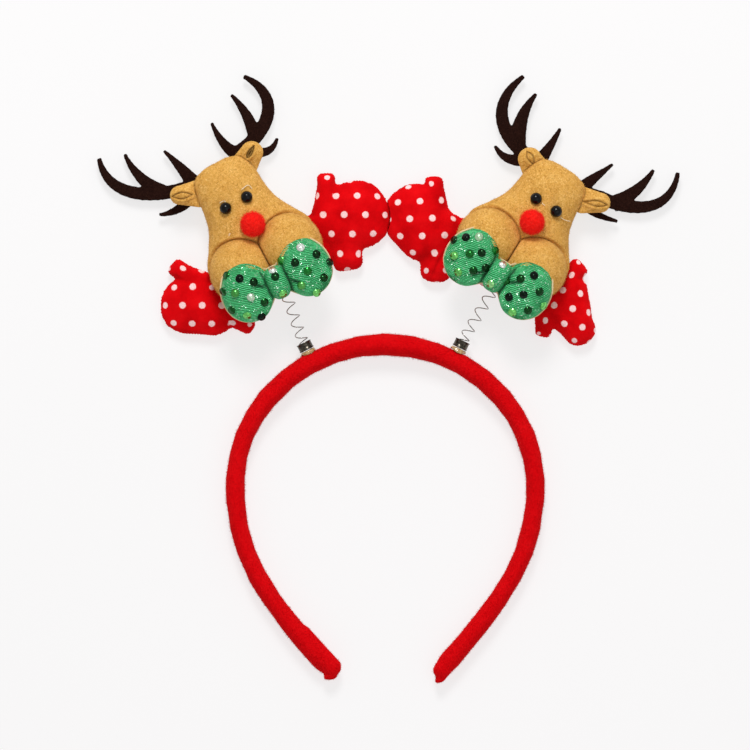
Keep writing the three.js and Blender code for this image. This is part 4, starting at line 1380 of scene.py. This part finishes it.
def make_rim(axes, bow_axes, bow):
    """The cut edge of the bow's felt backing, which shows all round it."""
    angle, far, height = outline_of(bow_axes.local(points_of(bow)), RIM["steps"])
    far = rolled_mean(far, RIM["even_out"]) + RIM["past"]
    height = rolled_mean(height, RIM["even_up"]) - RIM["under"]
    path = bow_axes.place(np.column_stack([far * np.cos(angle), far * np.sin(angle), height]))
    rim = new_piece(f"{axes.name}_bow_backing", *swept(path, RIM["radius"], RIM["sides"], closed=True))
    finished(rim, CREAM_FELT)


# Where sequins are sewn on each bow, in the head's frame, and the reflection painted on its foil:
# 0 dark, 1 white.
SEQUIN_PLACES = {
    "left": (
        (-13.5, -29.0, 0.0), (-9.0, -33.0, 0.05), (-9.0, -42.5, 0.12), (10.0, -34.0, 0.05),
        (19.5, -35.0, 0.05), (17.5, -45.0, 0.1), (0.0, -35.2, 0.08), (-22.0, -30.5, 0.15),
        (-22.5, -39.0, 0.15), (22.5, -40.5, 0.05), (-13.0, -47.0, 0.0), (13.0, -39.5, 0.4),
        (8.0, -43.5, 0.55), (-18.0, -33.5, 0.5), (-13.0, -38.0, 0.9), (-18.0, -44.0, 0.65),
        (15.0, -29.5, 1.0), (0.2, -32.2, 1.0), (-0.5, -43.0, 0.7), (12.0, -49.0, 0.7),
        (5.6, -30.5, 0.5), (-17.5, -25.5, 0.2),
    ),
    "right": (
        (-20.0, -29.5, 0.0), (-11.0, -31.5, 0.05), (-6.4, -36.0, 0.05), (-10.0, -39.5, 0.12),
        (12.5, -28.0, 0.0), (18.0, -32.5, 0.08), (13.0, -37.0, 0.0), (8.5, -41.0, 0.0),
        (18.0, -41.5, 0.1), (8.5, -32.0, 0.1), (-23.5, -33.0, 0.05), (-15.5, -26.5, 0.85),
        (-15.0, -34.5, 0.3), (-20.0, -38.5, 0.65), (-15.0, -43.5, 0.6), (-1.0, -31.0, 1.0),
        (-1.0, -40.5, 0.75), (13.0, -45.5, 0.7), (22.5, -36.5, 0.65), (4.0, -36.0, 0.2),
        (-7.0, -27.8, 0.4),
    ),
}


def skin_under(trees, axes, u, v):
    """The highest skin under a place of the face: the spot and its normal, or none."""
    above = Vector(axes.place((u, v, LOOKOUT)))
    hits = [tree.ray_cast(above, DOWN)[:2] for tree in trees]
    hits = [hit for hit in hits if hit[0] is not None]
    return max(hits, key=lambda hit: hit[0].z) if hits else None


def make_sequins(axes, bow, knot):
    """Sequins that lie on the ribs under them."""
    trees = [tree_of(bow), tree_of(knot)]
    places, facing, painted_reflections = [], [], []
    edge = SEQUIN["diameter"] / 2 * circle(SEQUIN["around"])
    for u, v, tone in SEQUIN_PLACES[axes.name]:
        hits = [skin_under(trees, axes, u + a, v + b) for a, b in ((0, 0), *edge, *(edge / 2))]
        if hits[0] is None:
            continue
        spot = hits[0][0]
        hits = [hit for hit in hits if hit is not None]
        tilt = Vector(rng.normal(0, SEQUIN["tilt"], 3))
        normal = sum((hit[1] for hit in hits), Vector()).normalized()
        way = (normal + Vector((0, 0, SEQUIN["upright"])) + tilt).normalized()
        lift = max((hit[0] - spot).dot(way) for hit in hits)
        places.append(np.array(spot + way * (min(lift, SEQUIN["most"]) + SEQUIN["proud"])))
        facing.append(way)
        painted_reflections.append(tone)
    spots = new_piece("sequin_spots", places, [])
    layer = spots.data.attributes.new("facing", "FLOAT_VECTOR", "POINT")
    layer.data.foreach_set("vector", np.array(facing, np.float32).ravel())
    mark(spots, "tone", painted_reflections)
    discs = SEQUINS.grow(
        spots, f"{axes.name}_bow_sequins", Diameter=SEQUIN["diameter"] * MM,
        Thickness=SEQUIN["thickness"] * MM, Material=FOIL,
    )
    bpy.data.objects.remove(spots)
    finished(discs, FOIL)


# The dotted bows: the printed dots lie in slanting rows, placed from the middle of the hoop. A row's step is
# across, and the next row is shifted.
DOT_ROWS = {
    "left": {
        "inner": {"from": (1.73, 56.28), "step": 9.0, "turn": 0.0, "shift": 3.5, "next": 8.2},
        "outer": {"from": (5.49, 51.77), "step": 8.3, "turn": 0.0, "shift": 4.0, "next": 8.0},
    },
    "right": {
        "inner": {"from": (-0.01, 53.14), "step": 9.6, "turn": 2.0, "shift": 5.0, "next": 7.4},
        "outer": {"from": (1.55, 53.36), "step": 8.0, "turn": -10.0, "shift": 5.5, "next": 7.0},
    },
}
# The pads that a dotted bow is sewn of, in the head's frame: root and tip, half width at each, and swell. The
# lobes are round and the tails are cut square.
PAD_COLUMNS = "root tip halves swell"
DOTTED_PADS = {
    "left": table(
        PAD_COLUMNS,
        ((-24, -31), (26, -29), (11, 11), 1.2),
        ((-31, -32.6), (-38.0, -28.6), (12.9, 12.5), 5.2),
        ((-30, -25), (-34.5, -13.0), (8, 4.4), 3.6),
        ((-26, -35), (-20.6, -46.8), (8, 3.5), 3.6),
        ((40, -27.4), (42, -27.8), (15.2, 15.0), 5.2),
        ((32, -22.5), (37.3, -9.4), (8.5, 4.3), 3.6),
        ((34.4, -34.5), (31.0, -41.6), (8.5, 6.6), 3.6),
    ),
    "right": table(
        PAD_COLUMNS,
        ((-26, -33), (24, -31), (11, 10), 1.2),
        ((-36.7, -35), (-42.7, -33), (14, 14.2), 5.2),
        ((-34.7, -31), (-43.2, -17.2), (8.5, 4.3), 3.6),
        ((-29, -38), (-24.6, -45.8), (8.5, 7.0), 3.6),
        ((29.3, -30), (41.0, -36.3), (12.9, 7.4), 5.2),
        ((25.3, -27), (27.0, -16.2), (7, 4.6), 3.6),
        ((25.8, -34), (28.3, -44.4), (8, 3.7), 3.6),
    ),
}
# A pad that swells more than a lobe's least is a lobe. The part behind the head is held flat, less and less
# between two distances from its middle. Where two bows meet, one keeps a gap to the other, and is tucked in
# under it below the seam.
DOTTED_BOW = {"voxel": 0.75, "seam": -1.7, "back": 3.5, "round": 2.2, "square": 3.3, "lobe": 5.0, "sides": 72,
              "rings": 48, "pressure": 3.5, "swell": 0.8, "held": (20.0, 25.0), "eased": 2, "gap": 0.12,
              "tuck": 0.5, "tuck_under": (0.6, 1.2), "fill": 0.45}
# The cloth ripples on top, and its pinked edge shows as small teeth along the seam.
CLOTH_RIPPLE = {"high": 0.25, "top": (-0.2, 0.4)}
CLOTH_RIPPLES = {"across": 0.55, "bend": 1.7, "bent": 0.31, "up": 0.47, "shift": 1.0}
EDGE_TOOTH = {"high": 0.22, "half": 0.6, "steep": (0.6, 0.9)}
EDGE_TEETH = {"across": 5.3, "bend": 0.8, "bent": 1.7, "up": 4.9, "shift": 0.9}
# How much further the print runs for each millimetre that the cloth falls away.
PRINT_FALL = 0.45


def dot_distance(flat, rows):
    """How far each place is from the middle of the nearest dot."""
    turn = math.radians(rows["turn"])
    across = np.array((math.cos(turn), math.sin(turn)))
    down = np.array((math.sin(turn), -math.cos(turn)))
    steps = np.stack([across * rows["step"], across * rows["shift"] + down * rows["next"]])
    shares = (flat - HOOP_MIDDLE - rows["from"]) @ np.linalg.inv(steps)
    best = np.full(len(flat), np.inf)
    for corner in ((0, 0), (0, 1), (1, 0), (1, 1)):
        best = np.minimum(best, np.linalg.norm((shares - np.floor(shares) - corner) @ steps, axis=1))
    return best


def cloth_pad(row):
    """A flat stuffed pad with round ends, from its root to its tip."""
    points, faces = ball((1, 1, 1), DOTTED_BOW["sides"], DOTTED_BOW["rings"])
    points = squared(points, DOTTED_BOW["round" if row["swell"] > DOTTED_BOW["lobe"] else "square"])
    root, tip = np.array(row["root"], float), np.array(row["tip"], float)
    along = unit(tip - root)
    across = np.array((-along[1], along[0]))
    beyond = points[:, 0] > 0
    half = np.where(beyond, row["halves"][1], row["halves"][0])
    flat = np.where(beyond[:, None], tip, root)
    flat = flat + np.outer(points[:, 0] * half, along) + np.outer(points[:, 1] * half, across)
    swell = np.where(points[:, 2] > 0, row["swell"], DOTTED_BOW["back"])
    return np.column_stack([flat, DOTTED_BOW["seam"] + points[:, 2] * swell]), faces


REACH_STEP = 0.5


def reach_of(bow):
    """How far a bow reaches to the right, in steps up the picture."""
    points = points_of(bow)
    low = points[:, 1].min()
    steps = np.floor((points[:, 1] - low) / REACH_STEP).astype(int)
    far = np.full(steps.max() + 1, -np.inf)
    np.maximum.at(far, steps, points[:, 0])
    return low + (np.arange(len(far)) + 0.5) * REACH_STEP, far


def make_dotted_bow(axes, head, beside=None):
    """A dotted bow. Where it meets the one beside it, its edge follows that one's and tucks in under it."""
    name = f"{axes.name}_dotted_bow"
    points, faces = merged(*(cloth_pad(row) for row in DOTTED_PADS[axes.name]))
    bow = new_piece(f"{name}_cloth", axes.place(points), faces)
    reskin(bow, DOTTED_BOW["voxel"])
    ease(bow, DOTTED_BOW["eased"])
    under = 1 - ramp(np.abs(axes.local(points_of(bow))[:, 0]), *DOTTED_BOW["held"])
    stuff(bow, DOTTED_BOW["pressure"], DOTTED_BOW["swell"], under)
    ease(bow, DOTTED_BOW["eased"])
    refine(bow)

    points = points_of(bow)
    local = axes.local(points)
    normals = normals_of(bow)
    ripple = lumpy(local, **CLOTH_RIPPLES) * ramp(normals[:, 2], *CLOTH_RIPPLE["top"])
    points += normals * (CLOTH_RIPPLE["high"] * ripple)[:, None]
    steep = ramp(np.hypot(normals[:, 0], normals[:, 1]), *EDGE_TOOTH["steep"])
    teeth = lumpy(points, **EDGE_TEETH) * bell(local[:, 2] - DOTTED_BOW["seam"], EDGE_TOOTH["half"]) * steep
    points[:, :2] += normals[:, :2] * (EDGE_TOOTH["high"] * teeth)[:, None]
    points[:, 2] = np.maximum(points[:, 2], LIES_AT)
    if beside is not None:
        heights, far = reach_of(beside)
        edge = np.interp(points[:, 1], heights, far, left=-np.inf, right=-np.inf) + DOTTED_BOW["gap"]
        under = ramp(DOTTED_BOW["seam"] - local[:, 2], *DOTTED_BOW["tuck_under"])
        points[:, 0] = np.maximum(points[:, 0], edge - DOTTED_BOW["tuck"] * under)
    move_points(bow, points)
    clear_of(bow, tree_of(head), reach=6.0)

    points = points_of(bow)
    fall = points[:, 2].max() - points[:, 2]
    unrolled = points[:, :2] + normals[:, :2] * (PRINT_FALL * fall)[:, None]
    inner = -axes.outward * local[:, 0] > 0
    distances = [dot_distance(unrolled, DOT_ROWS[axes.name][side]) for side in ("inner", "outer")]
    mark(bow, "dot", np.where(inner, *distances))
    return finished(bow, DOTTED, [name])


# The springs

SPRING = {"coil": 4.6, "wire": 0.44, "sides": 10, "pitch": 4.9, "in_chin": 4.0, "chin_v": -42.5,
          "chin_w": 5.0, "steps": 400, "above_floor": 0.3, "mouth": 1.5}
CUP = {"outer": 6.5, "inner": 5.8, "height": 3.4, "floor": 0.8, "sides": 48, "least": 0.02}


def foot_of(axes):
    """The middle of a spring's cup, and the way out of the hoop there."""
    turn = math.radians(axes.foot_turn)
    out = np.array((axes.outward * math.sin(turn), math.cos(turn), 0.0))
    return np.array(middle_of(f"{axes.name}_spring_cup")), out


def make_spring(axes):
    """A coil from the cup's floor that leans towards the chin and ends inside it."""
    cup, out = foot_of(axes)
    start = cup + out * (CUP["floor"] + SPRING["above_floor"] + SPRING["wire"] / 2 - CUP["height"] / 2)
    mouth = cup + out * CUP["height"] * SPRING["mouth"]
    chin = np.array((axes.chin_u, SPRING["chin_v"] * axes.length, SPRING["chin_w"]))
    inside = axes.place(chin + (0, SPRING["in_chin"], 0))
    below = axes.place(chin - (0, SPRING["in_chin"], 0))
    line = cubic(start, mouth, below, inside, SPRING["steps"])
    tangent = unit(np.gradient(line, axis=0))
    side = unit(np.cross(tangent, (0, 0, 1)))
    top = np.cross(side, tangent)
    length = np.linalg.norm(np.diff(line, axis=0), axis=1).sum()
    turn = np.linspace(0, 1, SPRING["steps"])[:, None] * length / SPRING["pitch"] * 2 * math.pi
    wire = line + SPRING["coil"] / 2 * (np.cos(turn) * side + np.sin(turn) * top)
    name = f"{axes.name}_spring"
    spring = new_piece(f"{name}_wire", *swept(wire, SPRING["wire"] / 2, SPRING["sides"]))
    finished(spring, WIRE, [name])


def make_cup(axes):
    """A pressed cup with a rolled lip and a foot ring."""
    cup, out = foot_of(axes)
    outer, inner, height, floor = CUP["outer"] / 2, CUP["inner"] / 2, CUP["height"], CUP["floor"]
    profile = [
        (0.0, 0.0), (outer - 0.3, 0.0), (outer, 0.12), (outer, 0.5), (outer - 0.16, 0.62),
        (outer - 0.16, height - 0.5), (outer, height - 0.36), (outer, height - 0.1), (outer - 0.12, height),
        (inner, height - 0.08), (inner - 0.05, floor + 0.3), (inner - 0.4, floor), (0.0, floor),
    ]
    side = np.cross(out, (0, 0, 1))
    turn = circle(CUP["sides"])
    around = turn[:, :1] * side + turn[:, 1:] * np.array((0, 0, 1.0))
    rings = [cup + out * (y - height / 2) + max(x, CUP["least"]) * around for x, y in profile]
    name = f"{axes.name}_spring_cup"
    points, faces = loft(rings)
    made = new_piece(f"{name}_metal", points, [f[::-1] for f in faces])
    finished(made, NICKEL, [name])


BLOB = {"voxel": 0.35, "eased": 4, "lump": 0.2}


def make_glue(axes):
    """Glue that has set in a lumpy blob under the cup."""
    name = f"{axes.name}_glue"
    blob = new_piece(f"{name}_blob", *solid_of(name))
    reskin(blob, BLOB["voxel"])
    ease(blob, BLOB["eased"])
    points = points_of(blob)
    x, y, z = points.T
    lumps = np.sin(x * 1.7 + 0.5) * np.sin(y * 1.9) * np.sin(z * 1.4 + 1.0)
    move_points(blob, points + normals_of(blob) * (BLOB["lump"] * lumps)[:, None])
    finished(blob, GLUE, [name])


dotted_bow = None
for axes in heads:
    head = make_head(axes)
    muzzle = make_muzzle(axes, head)
    finished(head, FLEECE, [f"{axes.name}_head"])
    finished(muzzle, FLEECE, [f"{axes.name}_muzzle"])
    for stuffed, seed in ((head, HEAD["seed"]), (muzzle, CHEEK["seed"])):
        with_nap(stuffed, FLEECE, FLEECE_NAP["per_mm2"], FLEECE_NAP["length"], seed)
    for row in ears_of(axes):
        make_ear(axes, row, head)
    for side in SIDES:
        make_antler(axes, side)
        make_eye(f"{axes.name}_eye_{side}")
    make_glue_strings(axes, head)
    make_nose(axes, head, muzzle)
    make_sequin_bow(axes, head, muzzle)
    dotted_bow = make_dotted_bow(axes, head, dotted_bow)
    make_spring(axes)
    make_cup(axes)
    make_glue(axes)
